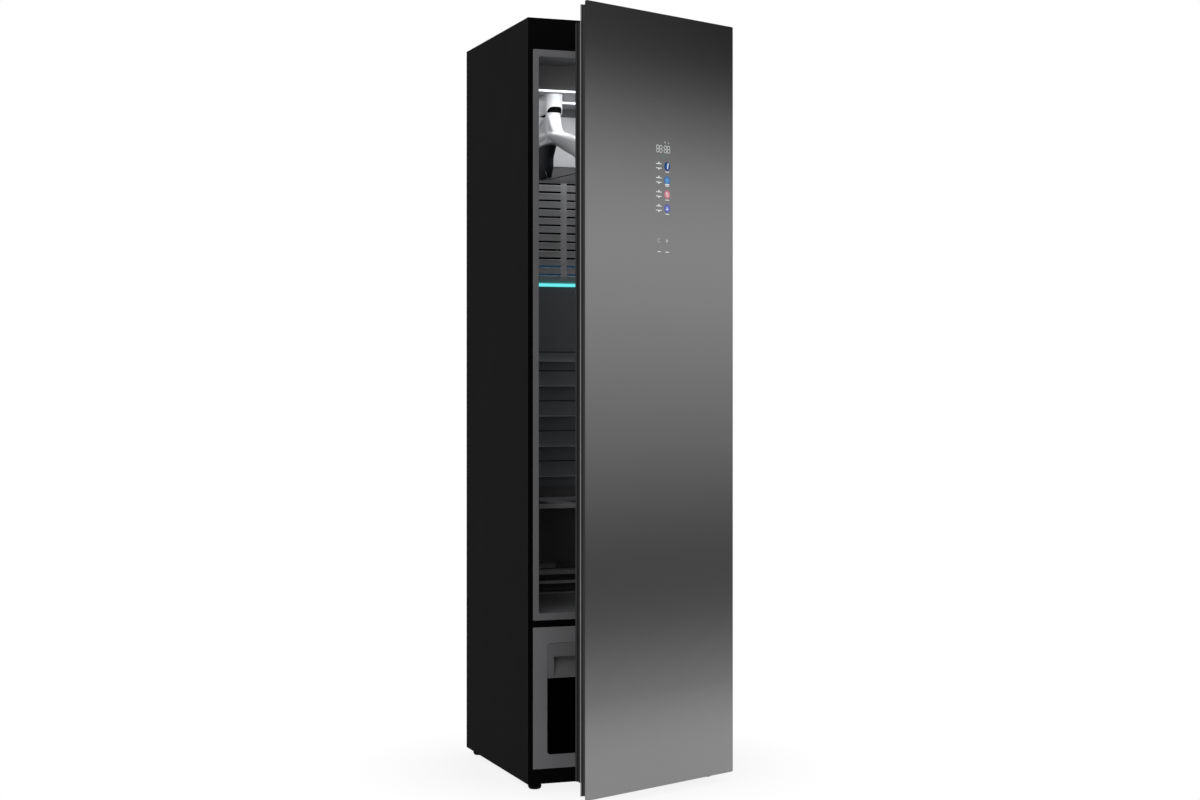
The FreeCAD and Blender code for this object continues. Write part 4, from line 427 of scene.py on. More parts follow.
class CABINET_OT_chamber(Operator):
    """Chamber liner, rear air panels, vent box, ceiling duct, sockets and lamps"""
    bl_idname = "cabinet.chamber"
    bl_label = "Chamber"

    # slot profile, upwards: (height, depth) about the middle of a slot, and the finish of each face above
    # a point: pale lip with a painted highlight, pocket with painted shade, and the panel's own on the
    # rounded upper edge
    SLOT = np.array([(-4.6, 0.0), (-4.2, -0.3), (-3.9, -0.5), (-3.4, -0.5), (-3.0, -0.1), (-2.7, 0.8),
                     (-2.5, 2.0), (-2.4, 4.2), (1.9, 4.2), (2.0, 1.6), (2.2, 0.5), (2.6, 0.12), (3.2, 0.0)])
    SLOT_FINISH = [1, 1, 1, 1, 1, 2, 2, 2, 2, 2, 0, 0, 0]
    # places in the grille's list of finishes
    POCKET, LEAK, TRIM = 2, 3, 4
    # middle of the lowest row of slots, spacing and number of the rows, rows whose pockets glow with painted
    # light
    FIRST_ROW, ROW_PITCH, ROWS, LEAK_ROWS = 1262.9, 21.82, 12, 2
    # ribs of the lower panel: top and lower edge
    RIBS = ((1057.5, 1033.0), (1008.0, 967.5), (928.5, 888.0), (849.0, 808.0), (769.5, 728.5))
    # sections of a lamp's lens and of its channel: y from the lamp's middle, z
    LENS = ((-5.5, 1698.7), (-5.5, 1696.8), (-4.4, 1695.9), (4.4, 1695.9), (5.5, 1696.8), (5.5, 1698.7))
    CHANNEL = ((-6.0, 1702.0), (-6.0, 1698.7), (6.0, 1698.7), (6.0, 1702.0))

    def upper_panel(self, material):
        """Light wall panel above the grille: a rounded rectangle carried 2 mm forward, its front edge soft.

        Each ring of the (inset, y) profile is four quarter circles of 6 mm less the inset.
        """
        half, low, high, radius, steps = 214.0, 1548.5, 1681.0, 6.0, 7
        angle = (np.linspace(0, np.pi / 2, steps) + np.arange(4)[:, None] * np.pi / 2).ravel()
        x = np.repeat(np.array([1, -1, -1, 1]) * (half - radius), steps)
        z = np.repeat([high - radius, high - radius, low + radius, low + radius], steps)
        rings = [np.stack([x + (radius - inset) * np.cos(angle), np.full(len(x), y),
                           z + (radius - inset) * np.sin(angle)], axis=-1) * MM
                 for inset, y in ((0.0, 204.8), (0.0, 203.2), (0.3, 202.7), (0.9, 202.4))]
        panel = mesh_of("upper_wall_panel", *capped(np.array(rings)))
        put("upper_wall_panel", outwards(panel), material, "cabinet", smooth=False)

    def grille_face(self, finishes):
        """Moulded grille: y = face + e(x) p(z), where p is the slot profile about each row.

        e(x) is 1 over the two columns of slots and a smooth step to 0 at their ends, 1.5 mm long in the
        middle; at the sides it runs from the last line of the grid to the end.
        """
        face, half, low, high = 202.0, 215.0, 1239.7, 1546.8
        inner, outer, step = 8.0, 186.0, 1.5
        near = np.array([-1.5, -1.1, -0.7, -0.3, 0.0])
        side = np.concatenate([inner - near, np.linspace(14, 180, 12), outer + step + near, [half]])
        x = np.unique(np.round(np.concatenate([-side, side]), 3))
        gap = np.min(np.abs(np.abs(x)[:, None] - (inner, outer)), axis=1)
        share = np.clip(gap / step, 0, 1) * ((np.abs(x) > inner) & (np.abs(x) < outer))
        share = share * share * (3 - 2 * share)
        rows = self.FIRST_ROW + self.ROW_PITCH * np.arange(self.ROWS)
        z = np.concatenate([[low]] + [row + self.SLOT[:, 0] for row in rows] + [[high]])
        depth = np.concatenate([[0.0]] + [self.SLOT[:, 1]] * self.ROWS + [[0.0]])
        y = face + depth[:, None] * share[None]
        points = np.stack([np.broadcast_to(x, y.shape), y, np.broadcast_to(z[:, None], y.shape)], axis=-1)
        mesh = mesh_of("grille_face", grid(points * MM, close_columns=False))
        in_slot = (share[:-1] + share[1:]) > 0.5
        kind = np.concatenate([[0], np.tile(self.SLOT_FINISH, self.ROWS)])
        tint = kind[:, None] * in_slot[None]
        # the pockets of the lowest rows take the painted glow, and the top strip the painted shade
        lit = np.arange(len(z) - 1) < 1 + self.LEAK_ROWS * len(self.SLOT)
        tint = np.where((tint == self.POCKET) & lit[:, None], self.LEAK, tint)
        tint[-1] = self.TRIM
        piece = put("grille_face", mesh, finishes, "cabinet", ["back_grille"])
        mesh.polygons.foreach_set("material_index", tint.astype(np.int32).ravel())
        walled(piece, 0.8)

    def rib_face(self, finishes):
        """Ribbed panel: at share s of a rib's height its face is at y = 202.8 - 6 s^2, down to a round lip.

        finishes: the panel's, the lips' painted highlight and the painted shadow line along each rib's top.
        """
        back, wall, groove, start, lean = 204.8, 203.0, 204.2, 202.8, 6.0
        outline, kinds = [(back, 1231.3), (wall, 1231.3)], [0, 0]
        for top, low in self.RIBS:
            share = np.linspace(0.0, 1.0, 9)
            face = np.stack([start - lean * share ** 2, top - 0.6 - share * (top - low - 2.4)], axis=-1)
            outline += [(wall, top + 1.9), (groove, top + 1.6), (groove, top + 0.2), *map(tuple, face),
                        (196.6, low + 1.2), (196.7, low + 0.5), (197.4, low), (wall, low - 1.6)]
            kinds += [2, 2, 2] + [0] * 8 + [1, 1, 1, 0, 0]
        outline += [(wall, 703.4), (back, 703.4)]
        caps = [0, 0]
        kinds += [0, 0] + caps
        mesh = outwards(mesh_of("rib_face", *swept(outline, (-214.8, 214.8))))
        put("rib_face", mesh, finishes, "cabinet", ["back_rib_panel"], smooth=False)
        mesh.polygons.foreach_set("material_index", np.array(kinds, np.int32))

    def socket(self, hx):
        """Hanger socket: a U-shaped wall, round in front, whose lower edge rises in an arch over the neck.

        At angle t from the middle of the round front the lower edge is at 1652.2 + 18 max(0, 1 - (t / 90)^3).
        """
        half, nose, base, arch, top = 21.5, -6.5, 1652.2, 18.0, 1701.9
        turn = np.linspace(np.pi, 2 * np.pi, 41)
        side = np.linspace(54, nose, 9)[:-1]
        rear = np.array([(-14.0, 58.0), (-7.0, 58.0), (7.0, 58.0), (14.0, 58.0)])
        outline = np.vstack([rear[1::-1], [(-20.0, 57.0)], np.column_stack([np.full(8, -half), side]),
                             np.column_stack([half * np.cos(turn), nose + half * np.sin(turn)]),
                             np.column_stack([np.full(8, half), side[::-1]]), [(20.0, 57.0)], rear[:1:-1]])
        x, y = outline.T
        off = np.degrees(np.arctan2(np.abs(x), nose - y))
        low = base + arch * np.clip(1 - (off / 90.0) ** 3, 0, None)
        share = np.array([0.0, 0.03, 0.4, 0.8, 0.95, 1.0])[:, None]
        swell = 1 + np.array([-0.012, 0.0, 0.0, 0.005, 0.03, 0.06])[:, None]
        points = np.stack([hx / MM + x * swell, NECK_Y / MM + y * swell, low + (top - low) * share], axis=-1)
        return grid(points * MM)

    def execute(self, context):
        look = context.scene.cabinet_finishes
        # vacuum-formed ABS: mid grey, dull, with a leathery grain of half a millimetre
        liner = grained("liner_abs", look.chamber, 0.55, 0.15, 0.5, 0.012)
        softened("chamber_liner", 0.8, liner)
        painted(liner, "rear_duct")
        # injection-moulded ABS, fine spark grain: a little smoother than the liner, so edges catch the lamps
        panel = grained("panel_abs", "#bebec0", 0.36, 0.4, 0.5, 0.006)
        # painted highlight: the slot lips are pale and glossy where the lamps' light catches them
        lip = grained("lip_painted_highlight", "#ececee", 0.25, 0.5, 0.5, 0.003, mottle=0.02)
        # painted shade: near black for the unlit duct behind the slots and the inside of the socket walls
        painted_shade = grained("painted_duct_shade", "#060606", 0.7, 0.03, 1.0, 0.01)
        # painted light: the pockets of the two lowest rows glow as the strip's light would, leaking up behind
        # them
        pocket_glow = glowing("painted_slot_glow", "#27597c", 0.35)
        # painted shade: the strip over the top row is the same plastic, painted darker
        top_shade = grained("top_strip_painted_shade", "#6e6e70", 0.5, 0.15, 0.5, 0.006)
        self.grille_face([panel, lip, painted_shade, pocket_glow, top_shade])
        # the ribbed panel's ABS is a touch cooler; its lips are painted pale as a highlight
        ribs = grained("rib_abs", "#7b7f83", 0.42, 0.3, 0.5, 0.008)
        rib_lip_highlight = grained("rib_lip_painted_highlight", "#dcdee0", 0.3, 0.5, 0.5, 0.003, mottle=0.02)
        # painted shade: each rib starts in a parting groove, painted dark where no light reaches
        rib_groove_shade = grained("rib_groove_painted_shade", "#1f2021", 0.6, 0.1, 0.5, 0.003, mottle=0.02)
        self.rib_face([ribs, rib_lip_highlight, rib_groove_shade])
        # pale spark-grained ABS of the vent box on the floor, and the greyer one of the ceiling duct
        softened("vent_box", 0.8, grained("vent_abs", "#c0c0c2", 0.5, 0.2, 0.5, 0.010))
        softened("ceiling_duct", 0.8, grained("duct_abs", "#a0a0a2", 0.5, 0.2, 0.5, 0.010))
        # white ABS like the hangers, from a duller tool
        white = grained("socket_abs", "#dcdddf", 0.45, 0.2, 2.5, 0.0008, mottle=0.01)
        walls = [self.socket(hx) for hx in HANGERS.values()]
        sockets = put("socket_shells", mesh_of("socket_shells", *walls), [white, painted_shade], "cabinet",
                      ["hanger_sockets"])
        # the inner side of the wall takes the painted shade
        walled(sockets, 2.0).material_offset = 1
        # near-white ABS panel under the lamps, fine even grain
        self.upper_panel(grained("wall_abs", "#ececee", 0.4, 0.25, 0.6, 0.006))
        softened("shelf_runners", 0.6, panel)
        # tinted acrylic light guide: even cyan along its length
        painted(glowing("cyan_acrylic", "#6ff3f3", look.line_glow), "back_light_strip")
        # opal polycarbonate lens: evenly lit, in a grey channel
        opal = glowing("opal_polycarbonate", "#f4f8ff", look.glow)
        low, high = (np.array(corner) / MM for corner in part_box("ceiling_lights"))
        for name, section, finish, slot, nodes in (
                ("lamp_lenses", self.LENS, opal, SLOT_OF["ceiling_lights"], ["ceiling_lights"]),
                ("lamp_channels", self.CHANNEL, panel, "panel_grey", [])):
            bars = [part for middle in (low[1] + 6.0, high[1] - 6.0)
                    for part in swept([(middle + y, z) for y, z in section], (low[0], high[0]))]
            put(name, outwards(mesh_of(name, *bars)), finish, "cabinet", nodes, smooth=False)
        # cut polyurethane foam: straw yellow, open cells
        painted(grained("polyurethane_foam", "#cbbd90", 0.9, 0.2, 1.5, 0.2), "insulation")
        return {"FINISHED"}


class CABINET_OT_hangers(Operator):
    """Air hangers with their nozzles and trouser bars"""
    bl_idname = "cabinet.hangers"
    bl_label = "Air hangers"

    # sections of an arm at shares of its reach: crown, keel, half width, sideways sweep; -1 front, 1 rear
    SHARES = np.array([0.0, 0.30, 0.62, 1.0])
    CROWN = {-1: np.array([1610.0, 1603.0, 1588.0, 1566.0]) * MM,
             1: np.array([1610.0, 1611.0, 1609.0, 1594.0]) * MM}
    KEEL = {-1: np.array([1576.0, 1562.0, 1539.0, 1512.0]) * MM,
            1: np.array([1575.0, 1574.0, 1570.0, 1566.0]) * MM}
    HALF = np.array([19.5, 19.0, 17.5, 12.0]) * MM
    SWEEP = np.array([0.0, 0.5, 3.0, 7.0]) * MM
    REAR_SHARE = 0.8
    # (radius, height) profiles round the neck's axis
    NECK = ((0, 1576), (20.0, 1580), (19.9, 1592), (19.7, 1606), (19.5, 1622), (19.3, 1640), (19.1, 1653),
            (16.6, 1655), (16.6, 1688), (0, 1688))
    COLLAR = ((16.0, 1652.6), (18.9, 1652.6), (19.3, 1653.2), (19.3, 1656.0), (18.9, 1656.6), (16.0, 1656.6))
    SLEEVE = ((16.2, 1656.8), (17.9, 1656.8), (18.2, 1657.6), (17.5, 1659.2), (18.2, 1660.8), (18.2, 1664.0),
              (17.5, 1665.6), (18.2, 1667.2), (18.2, 1672.0), (17.2, 1675.0), (16.2, 1675.0))
    # (y from the neck, z) outline of the body: it rises in a hollow curve to the neck, stands high behind it
    # and slopes to the rear; then its half width at some y
    WEB = np.array([[-104, 1590], [-76, 1599], [-54, 1606], [-38, 1616], [-27, 1630], [-19, 1648], [-8, 1650],
                    [36, 1650], [48, 1648], [60, 1641], [76, 1631], [94, 1624.5], [114, 1619], [134, 1611],
                    [149, 1600], [153, 1588], [140, 1577], [0, 1577], [-90, 1574]])
    WEB_HALF = ((-104, -54, -19, -4, 60, 110, 153), (9.0, 13.0, 17.0, 19.4, 19.2, 17.0, 10.0))
    # sections of the nozzle: height, middle from the neck, half length, half width
    NOZZLE = ((1580.0, 50.0, 66.0, 12.5), (1568.0, 53.0, 62.0, 12.3), (1547.0, 61.0, 50.0, 11.6),
              (1520.0, 59.0, 50.0, 11.0), (1498.0, 61.0, 38.0, 9.5))

    def along_arm(self, share, values):
        """Value along the arm: v0 + b s^2 + c s^3 + d s^4 through the four sections, level at the neck."""
        s = self.SHARES[1:]
        terms = np.linalg.solve(np.stack([s ** 2, s ** 3, s ** 4], axis=1), values[1:] - values[0])
        share = np.abs(share)
        return values[0] + terms[0] * share ** 2 + terms[1] * share ** 3 + terms[2] * share ** 4

    def arm_surface(self, hx, reach):
        """Arms: a section carried from the front tip to the rear one, drawn together at both rounded tips.

        Above the edge: x = half cos t, z = edge + 0.42 half sin t. Below it: x = half |cos t|^1.1 with the
        cosine's sign, z = edge - (edge - keel) |sin t|.
        """
        share = np.sin(np.linspace(-np.pi / 2, np.pi / 2, 97))
        rear = share > 0
        tip = np.clip((np.abs(share) - 0.955) / 0.045, 0, 1)
        shrink = np.sqrt(np.clip(1 - tip ** 2, 0.0, 1))[:, None]
        crown, keel = (np.where(rear, self.along_arm(share, form[1]), self.along_arm(share, form[-1]))
                       for form in (self.CROWN, self.KEEL))
        half, sweep = self.along_arm(share, self.HALF), self.along_arm(share, self.SWEEP)
        edge = (crown - 0.42 * half)[:, None]
        middle = ((crown + keel) / 2)[:, None]
        angle = full_turn(56)
        cos, sin = np.cos(angle)[None], np.sin(angle)[None]
        upper = sin >= 0
        x = half[:, None] * np.where(upper, cos, np.sign(cos) * np.abs(cos) ** 1.1)
        z = edge + np.where(upper, 0.42 * half[:, None] * sin, -(edge - keel[:, None]) * np.abs(sin))
        z = middle + (z - middle) * shrink
        x = hx + sweep[:, None] + x * shrink
        length = reach * np.where(rear, self.REAR_SHARE, 1.0) * share
        y = np.repeat(NECK_Y + length[:, None], len(angle), axis=1)
        return grid(np.stack([x, y, z], axis=-1))

    def web_surface(self, hx):
        """Body under the neck: its outline carried across, 3 mm lower and 4 mm shorter at the sides.

        At share s of the half width a point moves down by 3 s^4 and inwards by 4 s^3.
        """
        along, height = self.WEB.T
        across = np.linspace(-1, 1, 13)[:, None]
        half = np.interp(along, *self.WEB_HALF)
        z = height - 3.0 * np.abs(across) ** 4 * (height > 1585)
        y = along - 4.0 * np.abs(across) ** 3 * np.sign(along - 20)
        return grid(np.stack([hx + across * half * MM, NECK_Y + y * MM, z * MM], axis=-1))

    def hanger(self, side, hx, look, white):
        """Neck, body and arms blended into one moulding."""
        name = f"hanger_shell_{side}"
        parts = turned(self.NECK, (hx, NECK_Y), 56), self.arm_surface(hx, look.reach), self.web_surface(hx)
        mesh = outwards(mesh_of(name, *parts), fill=True)
        piece = put(name, mesh, white, f"air_hanger_{side}", [f"hanger_{side}"])
        blend = piece.modifiers.new("moulded blend", "REMESH")
        blend.mode = "VOXEL"
        blend.voxel_size = look.voxel
        blend.use_smooth_shade = True
        fair = piece.modifiers.new("fair", "SMOOTH")
        fair.factor = 0.5
        fair.iterations = 45

    def nozzle(self, hx):
        """Oval nozzle under the body: at height z a superellipse |x/b|^2.5 + |y/a|^2.5 = 1, open below.

        Its middle, half length a and half width b follow five sections, smoothed by repeated averaging.
        """
        drop, *sections = np.array(self.NOZZLE).T * MM
        level = np.linspace(drop[0], drop[-1], 34)
        middle, a, b = (np.interp(-level, -drop, values)[:, None] for values in sections)
        for _ in range(8):
            for values in (middle, a, b):
                values[1:-1] = (values[:-2] + 2 * values[1:-1] + values[2:]) / 4
        angle = full_turn(72)[None]
        cos, sin = np.cos(angle), np.sin(angle)
        x = hx + b * np.sign(cos) * np.abs(cos) ** 0.8
        y = NECK_Y + middle + a * np.sign(sin) * np.abs(sin) ** 0.8
        return grid(np.stack([x, y, np.repeat(level[:, None], 72, axis=1)], axis=-1))

    def trouser_bar(self, hx, look):
        """Wire from the nozzle's foot forward to below the front tip, where it turns up."""
        x, y, level = hx / MM, NECK_Y / MM, 1489.5
        front = y - 0.93 * look.reach / MM
        corners = np.array([(x - 10.6, y + 46.0, 1536.0), (x - 10.0, y + 9.0, level), (x + 6.0, front, level),
                            (x + 6.0, front + 2.0, 1530.0)])
        return tube(rounded_path(corners * MM, 7 * MM), look.bar)

    def execute(self, context):
        look = context.scene.cabinet_hangers
        shade = context.scene.cabinet_finishes.hanger
        # glossy white ABS, polished tool: clean white with soft highlights
        white = grained("hanger_abs", shade, 0.32, 0.4, 2.5, 0.001, mottle=0.012, coat=0.1)
        # dark ABS nozzle: satin, faintly blue
        dark = grained("nozzle_abs", "#2b2d31", 0.45, 0.15, 0.8, 0.006)
        # drawn steel wire, dark nickel plated: thin and glossy
        wire = grained("bar_steel", "#56575a", 0.22, 0.5, 1.0, 0.002, metallic=1.0, mottle=0.03)
        # painted shade: a matt black sleeve fills the bore of the socket, where shade falls
        shade_sleeve = grained("sleeve_painted_shade", "#080808", 0.7, 0.05, 0.8, 0.004)
        for side, hx in HANGERS.items():
            body = f"air_hanger_{side}"
            self.hanger(side, hx, look, white)
            for name, profile, finish, slot in (("collar", self.COLLAR, white, "hanger_white"),
                                                ("shade_sleeve", self.SLEEVE, shade_sleeve, "nozzle_grey")):
                ring = mesh_of(name, turned(profile, (hx, NECK_Y), 56))
                put(f"hanger_{name}_{side}", outwards(ring), finish, body)
            shell = put(f"nozzle_shell_{side}", outwards(mesh_of("nozzle", self.nozzle(hx))), dark, body,
                        [f"hanger_nozzle_{side}"])
            walled(shell, 2.0)
            put(f"trouser_bar_{side}", outwards(mesh_of("bar", *self.trouser_bar(hx, look))), wire, body)
        return {"FINISHED"}


class CABINET_OT_shelf(Operator):
    """Shelf and lint filter"""
    bl_idname = "cabinet.shelf"
    bl_label = "Shelf and filter"

    def execute(self, context):
        # injection-moulded ABS, a shade paler than the chamber, with the same leathery grain
        softened("shelf", 1.4, grained("shelf_abs", "#98989b", 0.45, 0.25, 0.5, 0.012), 3)
        # polypropylene frame and mesh of the lint filter: dull and greasy-smooth
        softened("lint_filter", 0.5, grained("filter_polypropylene", "#5a5a5c", 0.5, 0.25, 0.5, 0.01))
        return {"FINISHED"}


class CABINET_OT_tanks(Operator):
    """Tank fascia, bay and both water tanks"""
    bl_idname = "cabinet.tanks"
    bl_label = "Water tanks"

    def drop(self, x):
        """Drop sign: a circle of 3 mm whose upper half is drawn up by the factor 1 + 0.35 sin^2 t."""
        front, middle, radius = -264.15, 328.5, 3.0
        angle = full_turn(20)
        sin = np.sin(angle)
        points = np.stack([x + radius * np.cos(angle), np.full(20, front),
                           middle + radius * sin * (1 + 0.35 * (sin > 0) * sin ** 2)], axis=-1)
        return points * MM, np.arange(20)[None]

    def execute(self, context):
        # injection-moulded ABS with a fine spark grain
        softened("tank_fascia", 0.6, grained("fascia_abs", "#7e7e80", 0.45, 0.15, 0.5, 0.01))
        # painted shade: the ABS bay behind the tanks is painted near black, so the joints round the fronts
        # read as dark lines
        painted(grained("bay_painted_shade", "#0e0e0f", 0.5, 0.2, 0.5, 0.01), "tank_bay")
        # the tank fronts come from the same ABS in a slightly darker batch
        grip = grained("grip_abs", "#707072", 0.45, 0.15, 0.5, 0.01)
        # smoked polycarbonate, polished: reads as black gloss from outside
        smoke = grained("tank_polycarbonate", "#030304", 0.2, 0.01, 4.0, 0.001)
        # pad-printed mark: a thin, matt black
        ink = grained("mark_ink", "#1c1c1d", 0.6, 0.1, 0.6, 0.001, mottle=0.02)
        for tank, x in (("water_tank", -121.5), ("drain_tank", 83.5)):
            softened(tank, 0.8, smoke)
            softened(f"{tank}_front", 0.8, grip, 3)
            put(f"{tank}_mark", mesh_of("mark", self.drop(x)), ink, f"{tank}_unit", smooth=False)
        return {"FINISHED"}


class CABINET_OT_machinery(Operator):
    """Machinery in the base and the ceiling, and the levelling feet"""
    bl_idname = "cabinet.machinery"
    bl_label = "Machinery and feet"

    # (radius, height) of the ring by which a foot is turned
    GRIP = ((14.0, 4.6), (15.6, 4.6), (16.0, 5.2), (16.0, 9.4), (15.6, 10.0), (14.0, 10.0))

    def execute(self, context):
        # black baked enamel on the pressed can
        softened("compressor", 2.0, grained("can_enamel", "#121212", 0.3, 0.4, 2.0, 0.01), 3)
        # bare aluminium fins and headers
        painted(grained("coil_aluminium", "#b9bcc0", 0.35, 0.5, 1.0, 0.01, metallic=1.0),
                "evaporator", "condenser")
        # polypropylene mouldings: black with a greasy shine
        painted(grained("fan_polypropylene", "#2c2c2e", 0.5, 0.3, 0.6, 0.01),
                "base_fan_casing", "ceiling_fan_casing", "base_fan_wheel", "ceiling_fan_wheel", "pumps")
        # sand-cast aluminium: rough, matt
        painted(grained("boiler_cast_aluminium", "#9b9da0", 0.6, 0.5, 0.8, 0.08, metallic=0.9),
                "steam_generator")
        # extruded silicone: milky and slightly waxy
        painted(grained("silicone_hose", "#b8b6b0", 0.5, 0.4, 1.5, 0.01), "steam_pipe")
        # flame-retardant polycarbonate box: plain grey, even grain
        painted(grained("box_polycarbonate", "#6d6f72", 0.5, 0.3, 0.6, 0.01), "control_box")
        # drawn copper with a little tarnish
        painted(grained("copper_pipe", "#b87350", 0.3, 0.5, 8.0, 0.004, metallic=1.0, mottle=0.15),
                "refrigerant_pipes")
        # black-zinc plated steel hinges: dark with a soft metal sheen
        painted(grained("hinge_steel", "#4a4b4d", 0.35, 0.5, 1.0, 0.004, metallic=0.9),
                "cabinet_hinges", "door_hinges")
        # rubber-grade nylon feet: black and quite matt
        rubber = grained("foot_nylon", "#0c0c0c", 0.7, 0.04, 0.6, 0.02)
        for corner in ("front_left", "front_right", "rear_left", "rear_right"):
            softened(f"foot_{corner}", 0.5, rubber)
            low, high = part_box(f"foot_{corner}")
            centre = ((low[0] + high[0]) / 2, (low[1] + high[1]) / 2)
            ring = turned(self.GRIP, centre, 96, lambda angle: 1 + 0.014 * np.cos(24 * angle))
            put(f"foot_grip_{corner}", outwards(mesh_of("grip", ring)), rubber, f"levelling_foot_{corner}")
        return {"FINISHED"}


class CABINET_OT_door(Operator):
    """Glass, extruded frame, inner liner, gasket and display carrier of the door"""
    bl_idname = "cabinet.door"
    bl_label = "Door"

    # painted reflection: tone of the mirror coating by height in millimetres, where the studio's light falls
    # on it
    REFLECTION_TONES = ((1850, 0x2e), (1783, 0x34), (1714, 0x42), (1623, 0x5f), (1509, 0x7a), (1394, 0x89), (1280, 0x8d),
             (1166, 0x88), (1097, 0x83), (983, 0x7a), (823, 0x69), (708, 0x5a), (594, 0x49), (502, 0x47),
             (388, 0x55), (251, 0x7a), (182, 0x8d), (114, 0x96), (22, 0x99))
    HEIGHT = 1850
    # section of the bright bead: inset from the door's edge, y; and the x at which it ends near the hinge
    BEAD = ((6.2, -289.4), (6.2, -290.6), (7.4, -290.9), (7.4, -289.1))
    BEAD_END = 176.0

    def mirror_glass(self):
        """Tempered dark mirror glass with a painted reflection: a broad grey band that follows the height.

        Painted reflection: ramp(z) (1 - a(x) (u(z) + l(z))); a grows across the door, u to its top, l to its
        foot.
        """
        material, tree, out, place = blank("mirror_glass")
        parts = add(tree, "ShaderNodeSeparateXYZ", links={"Vector": place})
        x, z = parts.outputs["X"], parts.outputs["Z"]
        height = add(tree, "ShaderNodeMapRange", {"From Max": self.HEIGHT * MM}, {"Value": z})
        reflection_ramp = add(tree, "ShaderNodeValToRGB", links={"Fac": height})
        band = reflection_ramp.color_ramp
        band.interpolation = "B_SPLINE"
        for _ in self.REFLECTION_TONES[2:]:
            band.elements.new(0.5)
        for element, (level, tone) in zip(band.elements, sorted(self.REFLECTION_TONES)):
            element.position = level / self.HEIGHT
            element.color = linear("#" + f"{tone:02x}" * 3)
        across = add(tree, "ShaderNodeMapRange", {"From Min": -0.19, "From Max": 0.26, "To Max": 0.46},
                     {"Value": x})
        upper = add(tree, "ShaderNodeMapRange", {"From Min": 1.45, "From Max": 1.85}, {"Value": z})
        lower = add(tree, "ShaderNodeMapRange", {"From Min": 0.4, "From Max": 0.2, "To Max": -0.12},
                    {"Value": z})
        both = add(tree, "ShaderNodeMath", {"operation": "ADD"}, {0: upper, 1: lower})
        reflection_fade = add(tree, "ShaderNodeMath", {"operation": "MULTIPLY"}, {0: across, 1: both})
        keep = add(tree, "ShaderNodeMath", {"operation": "SUBTRACT", 0: 1.0}, {1: reflection_fade})
        painted_reflection = add(tree, "ShaderNodeMixRGB", {"blend_type": "MULTIPLY", "Fac": 1.0},
                    {"Color1": reflection_ramp, "Color2": keep})
        fine = add(tree, "ShaderNodeTexNoise", {"Scale": 500.0, "Detail": 2.0}, {"Vector": place})
        shine = add(tree, "ShaderNodeMapRange", {"To Min": 0.16, "To Max": 0.2}, {"Value": fine})
        shader = add(tree, "ShaderNodeBsdfPrincipled", {"Specular IOR Level": 0.05},
                     {"Base Color": painted_reflection, "Roughness": shine})
        tree.links.new(shader.outputs["BSDF"], out.inputs["Surface"])
        return material

    def edge_bead(self):
        """Bead along three edges: its section carried along top, free side and foot, mitred.

        Section point (i, y) runs at x = -(250 - i), z = 22 + i and z = 1850 - i, and stops at x = BEAD_END.
        """
        inset, depth = np.array(self.BEAD).T
        side, low, high = 250.0 - inset, 22.0 + inset, self.HEIGHT - inset
        end = np.full(len(inset), self.BEAD_END)
        corners = [(end, high), (-side, high), (-side, low), (end, low)]
        return capped(ajar(np.stack([np.stack([x, depth, z], axis=-1) for x, z in corners]) * MM))

    def execute(self, context):
        # the glass's colour holds a painted reflection of the studio
        softened("door_glass", 0.6, self.mirror_glass())
        # anodised aluminium extrusion, dark grey with a fine draw grain
        softened("door_frame", 0.3, grained("door_extrusion", "#303032", 0.4, 0.12, 1.0, 0.003))
        # bare polished edge of the extrusion: a thin bright line
        bright = grained("edge_aluminium", "#a9aaac", 0.3, 0.5, 1.0, 0.002, metallic=0.6, mottle=0.02)
        put("door_edge_bead", outwards(mesh_of("door_edge_bead", *self.edge_bead())), bright, "door",
            smooth=False)
        # vacuum-formed ABS: dark, with the grain of the chamber
        softened("door_liner", 0.8, grained("door_liner_abs", "#2e2e2f", 0.5, 0.06, 0.5, 0.012))
        # extruded soft PVC: black, matt, smooth along its length
        softened("door_gasket", 1.0, grained("gasket_pvc", "#202021", 0.6, 0.2, 0.8, 0.006), 3)
        # solder-masked glass-fibre board: black with a resin gloss
        painted(grained("board_epoxy", "#101012", 0.5, 0.3, 0.6, 0.004), "display_module")
        return {"FINISHED"}


